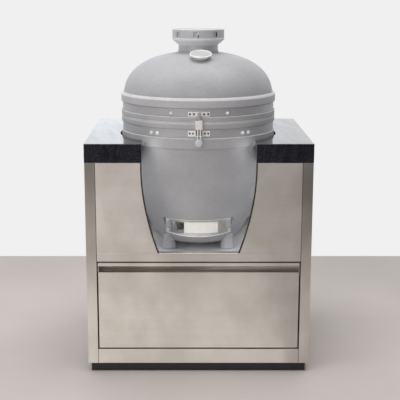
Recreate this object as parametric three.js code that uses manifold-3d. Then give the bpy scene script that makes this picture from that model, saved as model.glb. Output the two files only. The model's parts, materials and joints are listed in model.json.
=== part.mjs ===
import * as THREE from 'three';
import { mergeVertices } from 'three/addons/utils/BufferGeometryUtils.js';
import Module from 'manifold-3d';

// A steel cabinet with a stone worktop and a drawer, which carries a ceramic grill.
// Millimetres. X runs to the right, Y to the back and Z up; the origin is on the floor
// under the middle of the worktop.

// General
const fullTurn = 360; // degrees
const seatGap = 0.3; // between pieces that are fixed to each other or rest on each other
const overrun = 5; // how far a cutting shape passes the face that it cuts
const bigSteps = 36; // facets of the large round pieces
const smallSteps = 14; // facets of pins, knobs and feet
const arcSteps = 6; // facets of a quarter bend

// Cabinet
const cabinetWidth = 860;
const sheet = 2;
const postWidth = 39.5;
const plinthHeight = 34;
const plinthFrontInset = 10;
const plinthSideInset = 12;
const plinthWall = 16;
const bottomRailHeight = 58;
const bottomRailDepth = 25;
const drawerOpeningHeight = 353;
const midRailHeight = 34;

// Worktop
const stoneThickness = 72;
const stoneOverhang = 1;
const slotHalfWidth = 215.5;
const cutoutGap = 6.5; // round the grill's ring
const stoneBehindCutout = 112;
const stoneAboveBowl = 24; // the worktop's top above the foot of the grill's ring

// Curved edges of the front panels
const panelTopHalfWidth = 217;
const panelBottomHalfWidth = 153;
const panelTopPull = 120;
const panelTopSwell = 2.5;
const panelBottomPull = 110;
const panelBottomSwell = 40.5;
const panelFlangeDepth = 18;
const panelSteps = 12;

// Shelf
const shelfBelowRail = 32;
const shelfSheet = 3;
const shelfFlange = 40;
const beamHeight = 20;
const beamWidth = 45;
const beamOffset = 95;

// Back panel
const ventSlotCount = 8;
const ventSlotWidth = 10;
const ventSlotHeight = 90;
const ventSlotPitch = 40;
const ventBelowTop = 130;
const ventEndSteps = 3;

// Drawer
const drawerSideGap = 4.5;
const drawerTopGap = 5;
const drawerBottomGap = 5.5;
const handleHeight = 39;
const lipHeight = 16;
const scoopRadius = 28;
const drawerSheet = 1.5;
const drawerBoxRise = 12.5; // box bottom above the front's bottom edge
const drawerBoxHeight = 280;
const drawerBackRoom = 118; // behind the closed drawer
const runnerSpace = 14;
const runnerHeight = 45;
const runnerSheet = 1.5;
const runnerReach = 11.7;
const runnerRise = 70; // runner's middle above the box bottom

// Grill base
const footClearance = 27;
const bowlRadius = 296;
const bowlHeight = 402;
const bowlHeightShares = [0, 0.012, 0.05, 0.12, 0.24, 0.42, 0.62, 0.82, 1];
const bowlRadiusShares = [0.47, 0.52, 0.58, 0.64, 0.718, 0.815, 0.898, 0.96, 1];
const shellWall = 26;
const ringProud = 9.5; // this and the next three stand out from the bowl's widest radius
const bandSeatProud = 2;
const rimProud = 10;
const lidRingProud = 11.5;
const ringHeight = 42.5;
const ringRound = 4;
const bandHeight = 33.4;
const bandThickness = 3;
const rimHeight = 19;
const gasketThickness = 3.85;
const gasketWidth = 27;

// Grill lid
const lidBandHeight = 30.4;
const lidRingHeight = 37.5;
const lidRingRound = 5;
const domeProud = 1; // the dome's widest radius beyond the bowl's
const domeRise = 181;
const domeDrop = 25; // the dome's widest level below the top of the lid's ring
const domePower = 2.4;
const domeSteps = 9;
const domeInnerSteps = 6;
const crownRadius = 81;
const crownRise = 4;
const chimneyRadius = 58;

// Top vent
const neckRadius = 78;
const neckWall = 6;
const neckHeight = 26;
const flareHeight = 19.5;
const flareLip = 3;
const capRadius = 103;
const capWall = 4;
const capHeight = 37.7;
const coreWall = 3.5;
const ventPorts = 8;
const portAngle = 12.2;
const portTurn = -5; // the cap's ports, turned from the front
const corePortTurn = 4.6;
const portHeight = 19.5;
const portBelowTop = 9.5;

// Thermometer
const dialSideOffset = 8;
const dialBeforeAxis = 156;
const dialTilt = 16;
const dialLift = 0.6;
const caseBottomRadius = 30;
const caseRadius = 43;
const caseHeight = 19;
const caseFlank = 13;
const caseRim = 5;
const glassThickness = 2;
const glassDrop = 1.5;
const stemRadius = 3.5;
const stemLength = 60;
const stemHoleGap = 1;

// Draft vent at the bottom of the bowl
const frameClearance = 17.2; // behind the frame, to the bowl's inside at the frame's top
const frameWall = 8;
const frameHalfWidth = 129;
const frameTopRise = 109; // above the bottom of the bowl
const frameMidDrop = 69; // from its top edge to the lowest point of its bottom edge
const frameCornerRise = 13;
const frameSeatMargin = 3;
const frameSeatTurn = 1.3;
const seatInnerRadius = 160;
const windowLeftReach = 107.1; // this and the other reaches are from the middle of the frame
const windowRightReach = 77.9;
const windowHeight = 44;
const windowBelowTop = 10;
const doorWall = 2;
const doorLap = 2.2; // the door's edges behind the frame's bars, above and below
const doorLeftReach = 57.3;
const doorRightReach = 126.6;
const grooveLeftReach = 110.8;
const grooveRightReach = 128;
const tabFromMiddle = 71.1;
const tabThickness = 3.4;
const tabReach = 7;
const tabHeight = 22;

// Fire box and grates
const fireGap = 1; // to the inside of the bowl
const fireMidHeight = 110;
const fireWall = 20;
const ashHoleRadius = 70;
const ashWindowAngle = 30;
const ashWindowHeight = 32;
const ashWindowRise = 24;
const fireRingHeight = 132;
const grateBelowRim = 38.4; // the cooking grate's seat below the base's rim
const charcoalLedgeRadius = 118;
const charcoalLedgeHeight = 62;
const charcoalGrateThickness = 8;
const charcoalGrateGap = 2;
const charcoalSlots = 7;
const charcoalSlotWidth = 9;
const charcoalSlotPitch = 24;
const cookingGap = 8; // to the inside of the shell
const cookingRimWidth = 8;
const cookingThickness = 8;
const cookingBars = 13;
const cookingBarWidth = 6;

// Feet of the grill
const footOffset = 117;
const footRadius = 29;
const footTopRadius = 21;
const footRound = 4;
const footHeight = 60;

// Hinge at the back
const pivotBehindRim = 47;
const pinRadius = 6;
const pinHeadRadius = 9.5;
const pinHeadLength = 4;
const pinHoleGap = 0.3;
const earRadius = 14;
const earThickness = 4;
const hingeHalfWidth = 54;
const hingePlate = 4;
const hingePlateOverhang = 6;
const earRootDepth = 12;
const earStartAngle = -50;
const earEndAngle = 150;
const lidEarStartAngle = 215;
const lidEarEndAngle = 35;
const springWire = 3.2;
const springFit = 0.4;
const springCurls = 7;
const springSteps = 8;
const springSides = 5;
const springMiddleGap = 0.6;

// Latch at the front
const latchReach = 12; // from the rim to the latch's front, which is level with the worktop's
const latchPlateHalfWidth = 41;
const latchPlate = 3;
const keeperHeight = 18;
const keeperBelowRing = 11;
const tongueHalfWidth = 6;
const tongueDepth = 5.5;
const tongueBridge = 12;
const latchPlateHeight = 22;
const latchPlateBelowBand = 5;
const latchBossHalfWidth = 14;
const latchBlockHalfWidth = 13;
const latchBlockHeight = 34;
const latchBlockWall = 4;
const latchBlockFront = 2;
const latchSlotFloor = 3;
const rodRadius = 2.2;
const rodGap = 0.3;
const rodSpread = 5.8;
const pawlHeight = 4;
const pawlHalfWidth = 8.5;
const pawlDepth = 6;
const pullTravel = 8;
const tongueRest = 1; // tongue above the pawl when the lid is shut
const knobRadius = 15;
const knobThickness = 11.5;
const knobRound = 3.5;
const knobDrop = 11.5; // top of the knob below the latch's boss

// Places worked out from the sizes above
const ringRadius = bowlRadius + ringProud;
const bandSeatRadius = bowlRadius + bandSeatProud;
const rimRadius = bowlRadius + rimProud;
const lidRingRadius = bowlRadius + lidRingProud;
const domeRadius = bowlRadius + domeProud;
const cutoutRadius = ringRadius + cutoutGap;
const grillBehindFront = rimRadius + latchReach;

const right = cabinetWidth / 2;
const stoneHalfWidth = right + stoneOverhang;
const stoneBack = (grillBehindFront + cutoutRadius + stoneBehindCutout) / 2;
const stoneFront = -stoneBack;
const back = stoneBack - stoneOverhang;
const front = -back;
const bayHalf = right - postWidth;
const openingBottom = plinthHeight + bottomRailHeight;
const openingTop = openingBottom + drawerOpeningHeight;
const midRailTop = openingTop + midRailHeight;
const shelfTop = midRailTop - shelfBelowRail;
const grillY = stoneFront + grillBehindFront;
const handleDepth = scoopRadius + sheet;
const shelfFront = front + handleDepth + seatGap;

const bowlBottom = shelfTop + footClearance;
const bowlTop = bowlBottom + bowlHeight;
const counterHeight = bowlTop + stoneAboveBowl;
const stoneBottom = counterHeight - stoneThickness;
const baseRingTop = bowlTop + ringHeight;
const lowBandTop = baseRingTop + bandHeight + 2 * seatGap;
const baseRimTop = lowBandTop + rimHeight;
const seam = baseRimTop + gasketThickness + seatGap / 2;
const lidBottom = seam + seatGap / 2 + gasketThickness;
const lidBandBottom = lidBottom + rimHeight;
const lidRingBottom = lidBandBottom + lidBandHeight + 2 * seatGap;
const lidRingTop = lidRingBottom + lidRingHeight;
const domeMiddle = lidRingTop - domeDrop;
const bandRadius = bandSeatRadius + seatGap + bandThickness;
const innerRadius = bowlRadius - shellWall;
const cookingRadius = innerRadius - cookingGap;
const pivotY = grillY + rimRadius + pivotBehindRim;

// Radius of the bowl's hollow at a height
function bowlInnerAt(z) {
  const share = (z - bowlBottom - shellWall) / (bowlHeight - shellWall);
  const i = Math.max(1, bowlHeightShares.findIndex((level) => level >= share));
  const part = (share - bowlHeightShares[i - 1]) / (bowlHeightShares[i] - bowlHeightShares[i - 1]);
  return bowlRadius * THREE.MathUtils.lerp(bowlRadiusShares[i - 1], bowlRadiusShares[i], part) - shellWall;
}

const wasm = await Module();
wasm.setup();

// Turns a closed three.js geometry into a solid that can be joined and cut.
function solidOf(geometry) {
  const bare = geometry.clone();
  bare.deleteAttribute('normal');
  bare.deleteAttribute('uv');
  const merged = mergeVertices(bare);
  const index = merged.index.array;
  const corners = [];
  for (let i = 0; i < index.length; i += 3) {
    const [a, b, c] = [index[i], index[i + 1], index[i + 2]];
    if (a !== b && b !== c && c !== a) corners.push(a, b, c);
  }
  const points = Float32Array.from(merged.attributes.position.array);
  if (signedVolume(points, corners) < 0) corners.reverse();
  return new wasm.Manifold(
    new wasm.Mesh({ numProp: 3, vertProperties: points, triVerts: Uint32Array.from(corners) }),
  );
}

function signedVolume(points, corners) {
  const at = (i) => new THREE.Vector3(...points.slice(3 * i, 3 * i + 3));
  let sum = 0;
  for (let i = 0; i < corners.length; i += 3) {
    sum += at(corners[i]).dot(at(corners[i + 1]).cross(at(corners[i + 2])));
  }
  return sum;
}

function geometryOf(solid) {
  const got = solid.getMesh();
  const geometry = new THREE.BufferGeometry();
  geometry.setAttribute('position', new THREE.BufferAttribute(got.vertProperties, 3));
  geometry.setIndex(new THREE.BufferAttribute(got.triVerts, 1));
  geometry.computeVertexNormals();
  return geometry;
}

// A box between two corners, given in any order.
function box(xs, ys, zs) {
  const [x0, x1] = [...xs].sort((a, b) => a - b);
  const [y0, y1] = [...ys].sort((a, b) => a - b);
  const [z0, z1] = [...zs].sort((a, b) => a - b);
  const geometry = new THREE.BoxGeometry(x1 - x0, y1 - y0, z1 - z0);
  geometry.translate((x0 + x1) / 2, (y0 + y1) / 2, (z0 + z1) / 2);
  return solidOf(geometry);
}

function extrude(shape, depth, curveSteps) {
  return new THREE.ExtrudeGeometry(shape, {
    depth,
    bevelEnabled: false,
    steps: 1,
    curveSegments: curveSteps,
  });
}

// A flat outline in X and Y, raised from one height to another.
function upright(shape, z0, z1, curveSteps = arcSteps) {
  const geometry = extrude(shape, z1 - z0, curveSteps);
  geometry.translate(0, 0, z0);
  return solidOf(geometry);
}

// An outline drawn in Y and Z, carried along X.
function across(shape, xs, curveSteps = arcSteps) {
  const [x0, x1] = [...xs].sort((a, b) => a - b);
  const geometry = extrude(shape, x1 - x0, curveSteps);
  const turn = new THREE.Matrix4().makeBasis(
    new THREE.Vector3(0, 1, 0),
    new THREE.Vector3(0, 0, 1),
    new THREE.Vector3(1, 0, 0),
  );
  geometry.applyMatrix4(turn);
  geometry.translate(x0, 0, 0);
  return solidOf(geometry);
}

// An outline drawn in X and Z, carried from the front to the back.
function throughDepth(shape, y0, y1, curveSteps = arcSteps) {
  const geometry = extrude(shape, y1 - y0, curveSteps);
  const turn = new THREE.Matrix4().makeBasis(
    new THREE.Vector3(1, 0, 0),
    new THREE.Vector3(0, 0, 1),
    new THREE.Vector3(0, -1, 0),
  );
  geometry.applyMatrix4(turn);
  geometry.translate(0, y1, 0);
  return solidOf(geometry);
}

// A profile of [radius, height] points turned about an upright axis.
function turned(profile, centreX = 0, centreY = grillY, steps = bigSteps) {
  const points = profile.map(([radius, height]) => new THREE.Vector2(radius, height));
  const geometry = new THREE.LatheGeometry(points, steps);
  geometry.rotateX(Math.PI / 2);
  geometry.translate(centreX, centreY, 0);
  return solidOf(geometry);
}

// A ring of rectangular section about the grill's axis.
function ring(innerR, outerR, z0, z1, steps = bigSteps) {
  return turned([[innerR, z0], [outerR, z0], [outerR, z1], [innerR, z1], [innerR, z0]], 0, grillY, steps);
}

function disc(radius, z0, z1, centreX = 0, centreY = grillY, steps = bigSteps) {
  return turned([[0, z0], [radius, z0], [radius, z1], [0, z1]], centreX, centreY, steps);
}

// A piece of a ring. Angles are in degrees from the front, and grow to the right.
function sector(innerR, outerR, fromAngle, toAngle, z0, z1) {
  const start = THREE.MathUtils.degToRad(fromAngle - 90);
  const end = THREE.MathUtils.degToRad(toAngle - 90);
  const steps = Math.max(2, Math.ceil(((toAngle - fromAngle) / fullTurn) * bigSteps));
  const shape = new THREE.Shape();
  shape.absarc(0, 0, outerR, start, end, false);
  shape.absarc(0, 0, innerR, end, start, true);
  shape.closePath();
  const geometry = extrude(shape, z1 - z0, steps);
  geometry.translate(0, grillY, z0);
  return solidOf(geometry);
}

// A round bar along X.
function crossBar(radius, xs, y, z, steps = smallSteps) {
  const [x0, x1] = [...xs].sort((a, b) => a - b);
  const geometry = new THREE.CylinderGeometry(radius, radius, x1 - x0, steps);
  geometry.rotateZ(Math.PI / 2);
  geometry.translate((x0 + x1) / 2, y, z);
  return solidOf(geometry);
}

// A round bar that stands up.
function post(radius, x, y, z0, z1, steps = smallSteps) {
  return disc(radius, z0, z1, x, y, steps);
}

function halfAngle(halfWidth, radius) {
  return THREE.MathUtils.radToDeg(Math.asin(halfWidth / radius));
}

const table = new THREE.Group();

function add(name, solid, finish) {
  const material = new THREE.MeshStandardMaterial(finish);
  const mesh = new THREE.Mesh(geometryOf(solid), material);
  mesh.name = name;
  table.add(mesh);
}

const steel = { color: 0xb4aca3, roughness: 0.35, metalness: 1 };
const innerSteel = { color: 0xa8a5a0, roughness: 0.45, metalness: 1 };
const stone = { color: 0x17181b, roughness: 0.08, metalness: 0 };
const blackPaint = { color: 0x0d0d0d, roughness: 0.6, metalness: 0 };
const zinc = { color: 0xb9bcc0, roughness: 0.4, metalness: 1 };
const ceramic = { color: 0xa7a7ac, roughness: 0.6, metalness: 0 };
const fireClay = { color: 0xb7a592, roughness: 0.9, metalness: 0 };
const felt = { color: 0x8c8c8e, roughness: 1, metalness: 0 };
const bandPaint = { color: 0x939397, roughness: 0.5, metalness: 0.4 };
const polished = { color: 0xd8d4cf, roughness: 0.15, metalness: 1 };
const castIron = { color: 0x2b2b2c, roughness: 0.7, metalness: 0.6 };
const rodSteel = { color: 0xa9a9a9, roughness: 0.3, metalness: 1 };
const knobPlastic = { color: 0xa9aeb8, roughness: 0.35, metalness: 0 };
const ventPaint = { color: 0x9b9ca0, roughness: 0.55, metalness: 0.2 };
const dialGlass = { color: 0xe8edf0, roughness: 0.05, metalness: 0 };

// Worktop
function worktop() {
  const reach = Math.sqrt(cutoutRadius ** 2 - slotHalfWidth ** 2);
  const turn = Math.atan2(-reach, slotHalfWidth);
  const shape = new THREE.Shape();
  shape.moveTo(-stoneHalfWidth, stoneFront);
  shape.lineTo(-slotHalfWidth, stoneFront);
  shape.lineTo(-slotHalfWidth, grillY - reach);
  shape.absarc(0, grillY, cutoutRadius, -Math.PI - turn, turn, true);
  shape.lineTo(slotHalfWidth, stoneFront);
  shape.lineTo(stoneHalfWidth, stoneFront);
  shape.lineTo(stoneHalfWidth, stoneBack);
  shape.lineTo(-stoneHalfWidth, stoneBack);
  shape.closePath();
  return upright(shape, stoneBottom, counterHeight, bigSteps);
}
add('worktop', worktop(), stone);

// Folded side pans: the outer sheet with a return on every edge. The front returns are the posts.
function sidePanel(side) {
  const whole = box([side * bayHalf, side * right], [front, back], [plinthHeight, stoneBottom]);
  const hollow = box(
    [side * (bayHalf - overrun), side * (right - sheet)],
    [front + sheet, back - sheet],
    [plinthHeight + sheet, stoneBottom - sheet],
  );
  return whole.subtract(hollow);
}

function sideLiner(side) {
  const inset = sheet + seatGap;
  return box(
    [side * bayHalf, side * (bayHalf + sheet)],
    [front + inset, back - inset],
    [plinthHeight + inset, stoneBottom - inset],
  );
}

for (const [hand, side] of [['left', -1], ['right', 1]]) {
  add(`side_panel_${hand}`, sidePanel(side), steel);
  add(`side_liner_${hand}`, sideLiner(side), innerSteel);
}

// Rails across the front, open at the back like a folded channel.
const railHalf = bayHalf - seatGap;
function frontRail(z0, z1, depth) {
  const whole = box([-railHalf, railHalf], [front, front + depth], [z0, z1]);
  const hollow = box(
    [-railHalf + sheet, railHalf - sheet],
    [front + sheet, front + depth + overrun],
    [z0 + sheet, z1 - sheet],
  );
  return whole.subtract(hollow);
}
add('mid_rail', frontRail(openingTop, midRailTop, handleDepth), steel);
add('bottom_rail', frontRail(plinthHeight, openingBottom, bottomRailDepth), steel);

// Front panels beside the grill, with a narrow flange folded in along the curved edge.
function panelEdge(side, inset) {
  const z0 = midRailTop + seatGap;
  const z1 = stoneBottom - seatGap;
  return new THREE.CubicBezierCurve(
    new THREE.Vector2(side * (panelTopHalfWidth + inset), z1),
    new THREE.Vector2(side * (panelTopHalfWidth + panelTopSwell + inset), z1 - panelTopPull),
    new THREE.Vector2(side * (panelBottomHalfWidth + panelBottomSwell + inset), z0 + panelBottomPull),
    new THREE.Vector2(side * (panelBottomHalfWidth + inset), z0),
  ).getPoints(panelSteps);
}

function frontPanel(side) {
  const edge = panelEdge(side, 0);
  const innerEdge = panelEdge(side, sheet);
  const outer = side * railHalf;
  const plate = new THREE.Shape([
    ...edge,
    new THREE.Vector2(outer, midRailTop + seatGap),
    new THREE.Vector2(outer, stoneBottom - seatGap),
  ]);
  const flange = new THREE.Shape([...edge, ...innerEdge.reverse()]);
  return throughDepth(plate, front, front + sheet)
    .add(throughDepth(flange, front, front + panelFlangeDepth));
}
add('front_panel_left', frontPanel(-1), steel);
add('front_panel_right', frontPanel(1), steel);

// Back panel with a row of upright vent slots.
function backPanel() {
  let panel = box([-railHalf, railHalf], [back - sheet, back], [plinthHeight, stoneBottom - seatGap]);
  const top = stoneBottom - ventBelowTop;
  for (let i = 0; i < ventSlotCount; i += 1) {
    const x = (i - (ventSlotCount - 1) / 2) * ventSlotPitch;
    const radius = ventSlotWidth / 2;
    const slot = new THREE.Shape();
    slot.absarc(x, top - radius, radius, 0, Math.PI, false);
    slot.absarc(x, top - ventSlotHeight + radius, radius, Math.PI, 2 * Math.PI, false);
    slot.closePath();
    panel = panel.subtract(throughDepth(slot, back - sheet - overrun, back + overrun, ventEndSteps));
  }
  return panel;
}
add('back_panel', backPanel(), steel);

// Shelf under the grill: a tray turned down along both sides, over two channels.
function grillShelf() {
  const ys = [shelfFront, back - sheet - seatGap];
  let shelf = box([-railHalf, railHalf], ys, [shelfTop - shelfSheet, shelfTop]);
  for (const side of [-1, 1]) {
    const xs = [side * (railHalf - shelfSheet), side * railHalf];
    shelf = shelf.add(box(xs, ys, [shelfTop - shelfFlange, shelfTop]));
  }
  return shelf;
}
add('grill_shelf', grillShelf(), innerSteel);

function shelfBeam(side) {
  const top = shelfTop - shelfSheet - seatGap;
  const ys = [shelfFront, back - sheet - seatGap];
  const inner = side * (beamOffset - beamWidth / 2);
  const outer = side * (beamOffset + beamWidth / 2);
  const whole = box([inner, outer], ys, [top - beamHeight, top]);
  const hollow = box(
    [inner + side * sheet, outer - side * sheet],
    [ys[0] - overrun, ys[1] + overrun],
    [top - beamHeight - overrun, top - sheet],
  );
  return whole.subtract(hollow);
}
add('shelf_beam_left', shelfBeam(-1), innerSteel);
add('shelf_beam_right', shelfBeam(1), innerSteel);

function cabinetFloor() {
  const ys = [front + bottomRailDepth + seatGap, back - sheet - seatGap];
  return box([-railHalf, railHalf], ys, [plinthHeight, plinthHeight + sheet]);
}
add('cabinet_floor', cabinetFloor(), innerSteel);

function plinth() {
  const half = right - plinthSideInset;
  const y0 = front + plinthFrontInset;
  const y1 = back - plinthSideInset;
  const whole = box([-half, half], [y0, y1], [0, plinthHeight]);
  const hollow = box(
    [-half + plinthWall, half - plinthWall],
    [y0 + plinthWall, y1 - plinthWall],
    [-overrun, plinthHeight + overrun],
  );
  return whole.subtract(hollow);
}
add('plinth', plinth(), blackPaint);

// Drawer
const drawerHalf = bayHalf - drawerSideGap;
const drawerTop = openingTop - drawerTopGap;
const drawerFrontBottom = openingBottom + drawerBottomGap;
const handleBottom = drawerTop - handleHeight;
const boxHalf = bayHalf - runnerSpace;
const boxBottom = drawerFrontBottom + drawerBoxRise;
const boxTop = boxBottom + drawerBoxHeight;
const boxFront = front + handleDepth + seatGap;
const boxBack = back - drawerBackRoom;

function drawerFront() {
  const top = handleBottom - seatGap;
  const whole = box([-drawerHalf, drawerHalf], [front, front + handleDepth], [drawerFrontBottom, top]);
  const hollow = box(
    [-drawerHalf + sheet, drawerHalf - sheet],
    [front + sheet, front + handleDepth + overrun],
    [drawerFrontBottom + sheet, top - sheet],
  );
  return whole.subtract(hollow);
}
add('drawer_front', drawerFront(), steel);

// The pull runs the whole width: an upright lip over a hollow quarter-round scoop.
function drawerHandle() {
  const scoopMiddle = handleBottom + sheet + scoopRadius;
  const section = new THREE.Shape();
  section.moveTo(front, drawerTop);
  section.lineTo(front, drawerTop - lipHeight);
  section.lineTo(front + sheet, drawerTop - lipHeight);
  section.lineTo(front + sheet, drawerTop - sheet);
  section.lineTo(front + scoopRadius, drawerTop - sheet);
  section.absarc(front, scoopMiddle, scoopRadius, 0, -Math.PI / 2, true);
  section.absarc(front, scoopMiddle, scoopRadius + sheet, -Math.PI / 2, 0, false);
  section.lineTo(front + handleDepth, drawerTop);
  section.closePath();
  const end = new THREE.Shape();
  end.moveTo(front + handleDepth, drawerTop);
  end.lineTo(front, drawerTop);
  end.absarc(front, scoopMiddle, scoopRadius + sheet, -Math.PI / 2, 0, false);
  end.closePath();
  let pull = across(section, [-drawerHalf, drawerHalf]);
  for (const side of [-1, 1]) {
    pull = pull.add(across(end, [side * (drawerHalf - sheet), side * drawerHalf]));
  }
  return pull;
}
add('drawer_handle', drawerHandle(), steel);

const insideHalf = boxHalf - drawerSheet - seatGap;
add('drawer_inner_front', box(
  [-insideHalf, insideHalf],
  [boxFront, boxFront + drawerSheet],
  [boxBottom, boxTop],
), innerSteel);
add('drawer_back', box(
  [-insideHalf, insideHalf],
  [boxBack - drawerSheet, boxBack],
  [boxBottom, boxTop],
), innerSteel);
add('drawer_bottom', box(
  [-insideHalf, insideHalf],
  [boxFront + drawerSheet + seatGap, boxBack - drawerSheet - seatGap],
  [boxBottom, boxBottom + drawerSheet],
), innerSteel);

// Three-part runners: each member is a channel that nests in the next with running room.
const runnerStep = runnerSheet + seatGap;
const runnerOuter = bayHalf - seatGap;
const runnerLevel = boxBottom + runnerRise;

function runnerChannel(side, steps, opensInward) {
  const half = runnerHeight / 2 - steps * runnerStep;
  const outerX = runnerOuter - steps * runnerStep;
  const innerX = opensInward ? runnerOuter - runnerReach : boxHalf + seatGap;
  const whole = box(
    [side * innerX, side * outerX],
    [boxFront, boxBack],
    [runnerLevel - half, runnerLevel + half],
  );
  const cutInner = opensInward ? innerX - overrun : innerX + runnerSheet;
  const cutOuter = opensInward ? outerX - runnerSheet : outerX + overrun;
  const hollow = box(
    [side * cutInner, side * cutOuter],
    [boxFront - overrun, boxBack + overrun],
    [runnerLevel - half + runnerSheet, runnerLevel + half - runnerSheet],
  );
  return whole.subtract(hollow);
}

for (const [hand, side] of [['left', -1], ['right', 1]]) {
  const xs = [side * (boxHalf - drawerSheet), side * boxHalf];
  add(`drawer_side_${hand}`, box(xs, [boxFront, boxBack], [boxBottom, boxTop]), innerSteel);
  add(`runner_cabinet_${hand}`, runnerChannel(side, 0, true), zinc);
  add(`runner_middle_${hand}`, runnerChannel(side, 1, true), zinc);
  add(`runner_drawer_${hand}`, runnerChannel(side, 2, false), zinc);
}

// Grill base. The outer profile runs up the bowl, over its ring, past the band's seat to the rim.
function bowlProfile(growth) {
  const points = [[0, bowlBottom - growth]];
  bowlHeightShares.forEach((share, i) => {
    points.push([bowlRadius * bowlRadiusShares[i] + growth, bowlBottom + share * bowlHeight - growth]);
  });
  return points;
}

// Frame and door of the draft vent
const frameTop = bowlBottom + frameTopRise;
const frameLowest = frameTop - frameMidDrop;
const frameInner = bowlInnerAt(frameTop) + frameClearance;
const frameRadius = frameInner + frameWall;
const frameAngle = halfAngle(frameHalfWidth, frameRadius);
const windowLeftAngle = -halfAngle(windowLeftReach, frameRadius);
const windowRightAngle = halfAngle(windowRightReach, frameRadius);
const doorLeftAngle = -halfAngle(doorLeftReach, frameRadius);
const doorRightAngle = halfAngle(doorRightReach, frameRadius);
const grooveLeftAngle = -halfAngle(grooveLeftReach, frameRadius);
const grooveRightAngle = halfAngle(grooveRightReach, frameRadius);
const tabAngle = halfAngle(tabFromMiddle, frameRadius);
const tabEndAngle = halfAngle(tabFromMiddle + tabThickness, frameRadius);
const windowTop = frameTop - windowBelowTop;
const windowBottom = windowTop - windowHeight;
const doorInner = frameInner + (frameWall - doorWall) / 2;
const doorOuter = doorInner + doorWall;

function baseShell() {
  const outline = [
    ...bowlProfile(0),
    [ringRadius - ringRound, bowlTop],
    [ringRadius, bowlTop + ringRound],
    [ringRadius, baseRingTop - ringRound],
    [ringRadius - ringRound, baseRingTop],
    [bandSeatRadius, baseRingTop],
    [bandSeatRadius, lowBandTop],
    [rimRadius, lowBandTop],
    [rimRadius, baseRimTop],
    [0, baseRimTop],
  ];
  const hollow = [[0, bowlBottom + shellWall]];
  bowlHeightShares.forEach((share, i) => {
    const radius = bowlRadius * bowlRadiusShares[i] - shellWall;
    hollow.push([radius, bowlBottom + shellWall + share * (bowlHeight - shellWall)]);
  });
  hollow.push([innerRadius, baseRimTop + overrun], [0, baseRimTop + overrun]);
  const seatRadius = frameInner - seatGap;
  const seatAngle = frameAngle + frameSeatTurn;
  const seatBottom = frameLowest - frameSeatMargin;
  const seatTop = frameTop + frameSeatMargin;
  return turned(outline)
    .subtract(sector(seatRadius, bowlRadius, -seatAngle, seatAngle, seatBottom, seatTop))
    .add(sector(seatInnerRadius, seatRadius, -seatAngle, seatAngle, seatBottom, seatTop))
    .subtract(turned(hollow))
    .subtract(sector(
      ashHoleRadius,
      bowlRadius,
      windowLeftAngle,
      windowRightAngle,
      windowBottom,
      windowTop,
    ));
}
add('base_shell', baseShell(), ceramic);

function draftFrame() {
  const outline = new THREE.Shape();
  outline.moveTo(-frameHalfWidth, frameTop);
  outline.lineTo(-frameHalfWidth, frameLowest + frameCornerRise);
  outline.quadraticCurveTo(0, frameLowest - frameCornerRise, frameHalfWidth, frameLowest + frameCornerRise);
  outline.lineTo(frameHalfWidth, frameTop);
  outline.closePath();
  const whole = sector(frameInner, frameRadius, -frameAngle, frameAngle, frameLowest, frameTop);
  const groove = sector(
    doorInner - seatGap,
    doorOuter + seatGap,
    grooveLeftAngle,
    grooveRightAngle,
    windowBottom - doorLap - seatGap,
    windowTop + doorLap + seatGap,
  );
  const window = sector(
    frameInner - overrun,
    frameRadius + overrun,
    windowLeftAngle,
    windowRightAngle,
    windowBottom,
    windowTop,
  );
  return whole
    .intersect(throughDepth(outline, grillY - frameRadius - overrun, grillY, smallSteps))
    .subtract(groove)
    .subtract(window);
}
add('draft_frame', draftFrame(), polished);

function draftDoor() {
  const panel = sector(
    doorInner,
    doorOuter,
    doorLeftAngle,
    doorRightAngle,
    windowBottom - doorLap,
    windowTop + doorLap,
  );
  const middle = (windowBottom + windowTop) / 2;
  const tab = sector(
    doorInner,
    doorOuter + tabReach,
    tabAngle,
    tabEndAngle,
    middle - tabHeight / 2,
    middle + tabHeight / 2,
  );
  return panel.add(tab);
}
add('draft_door', draftDoor(), polished);

// Gaskets and bands
const gasketInner = rimRadius - gasketWidth;
add('lower_gasket', ring(gasketInner, rimRadius, baseRimTop, baseRimTop + gasketThickness), felt);
add('upper_gasket', ring(gasketInner, rimRadius, lidBottom - gasketThickness, lidBottom), felt);
add('lower_band', ring(
  bandSeatRadius + seatGap,
  bandRadius,
  baseRingTop + seatGap,
  lowBandTop - seatGap,
), bandPaint);
add('upper_band', ring(
  bandSeatRadius + seatGap,
  bandRadius,
  lidBandBottom + seatGap,
  lidRingBottom - seatGap,
), bandPaint);

// Fire box, ring and grates, one on the other inside the bowl
const fireFloor = bowlBottom + shellWall + seatGap;
const fireMiddle = fireFloor + fireMidHeight;
const fireRingTop = baseRimTop - grateBelowRim;
const fireRingBottom = fireRingTop - fireRingHeight;
const fireBoxTop = fireRingBottom - seatGap;
const fireMidRadius = bowlInnerAt(fireMiddle) - fireGap;
const fireTopRadius = bowlInnerAt(fireBoxTop) - fireGap;

function fireBox() {
  const outline = [
    [0, fireFloor],
    [bowlInnerAt(fireFloor) - fireGap, fireFloor],
    [fireMidRadius, fireMiddle],
    [fireTopRadius, fireBoxTop],
    [fireTopRadius - fireWall, fireBoxTop],
    [fireMidRadius - fireWall, fireMiddle],
    [charcoalLedgeRadius, fireFloor + charcoalLedgeHeight],
    [ashHoleRadius, fireFloor + charcoalLedgeHeight],
    [ashHoleRadius, fireFloor + fireWall],
    [0, fireFloor + fireWall],
  ];
  const windowBase = fireFloor + ashWindowRise;
  const window = sector(
    ashHoleRadius / 2,
    fireTopRadius,
    -ashWindowAngle,
    ashWindowAngle,
    windowBase,
    windowBase + ashWindowHeight,
  );
  return turned(outline).subtract(window);
}
add('fire_box', fireBox(), fireClay);

add('fire_ring', ring(fireTopRadius - fireWall, fireTopRadius, fireRingBottom, fireRingTop), fireClay);

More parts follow.
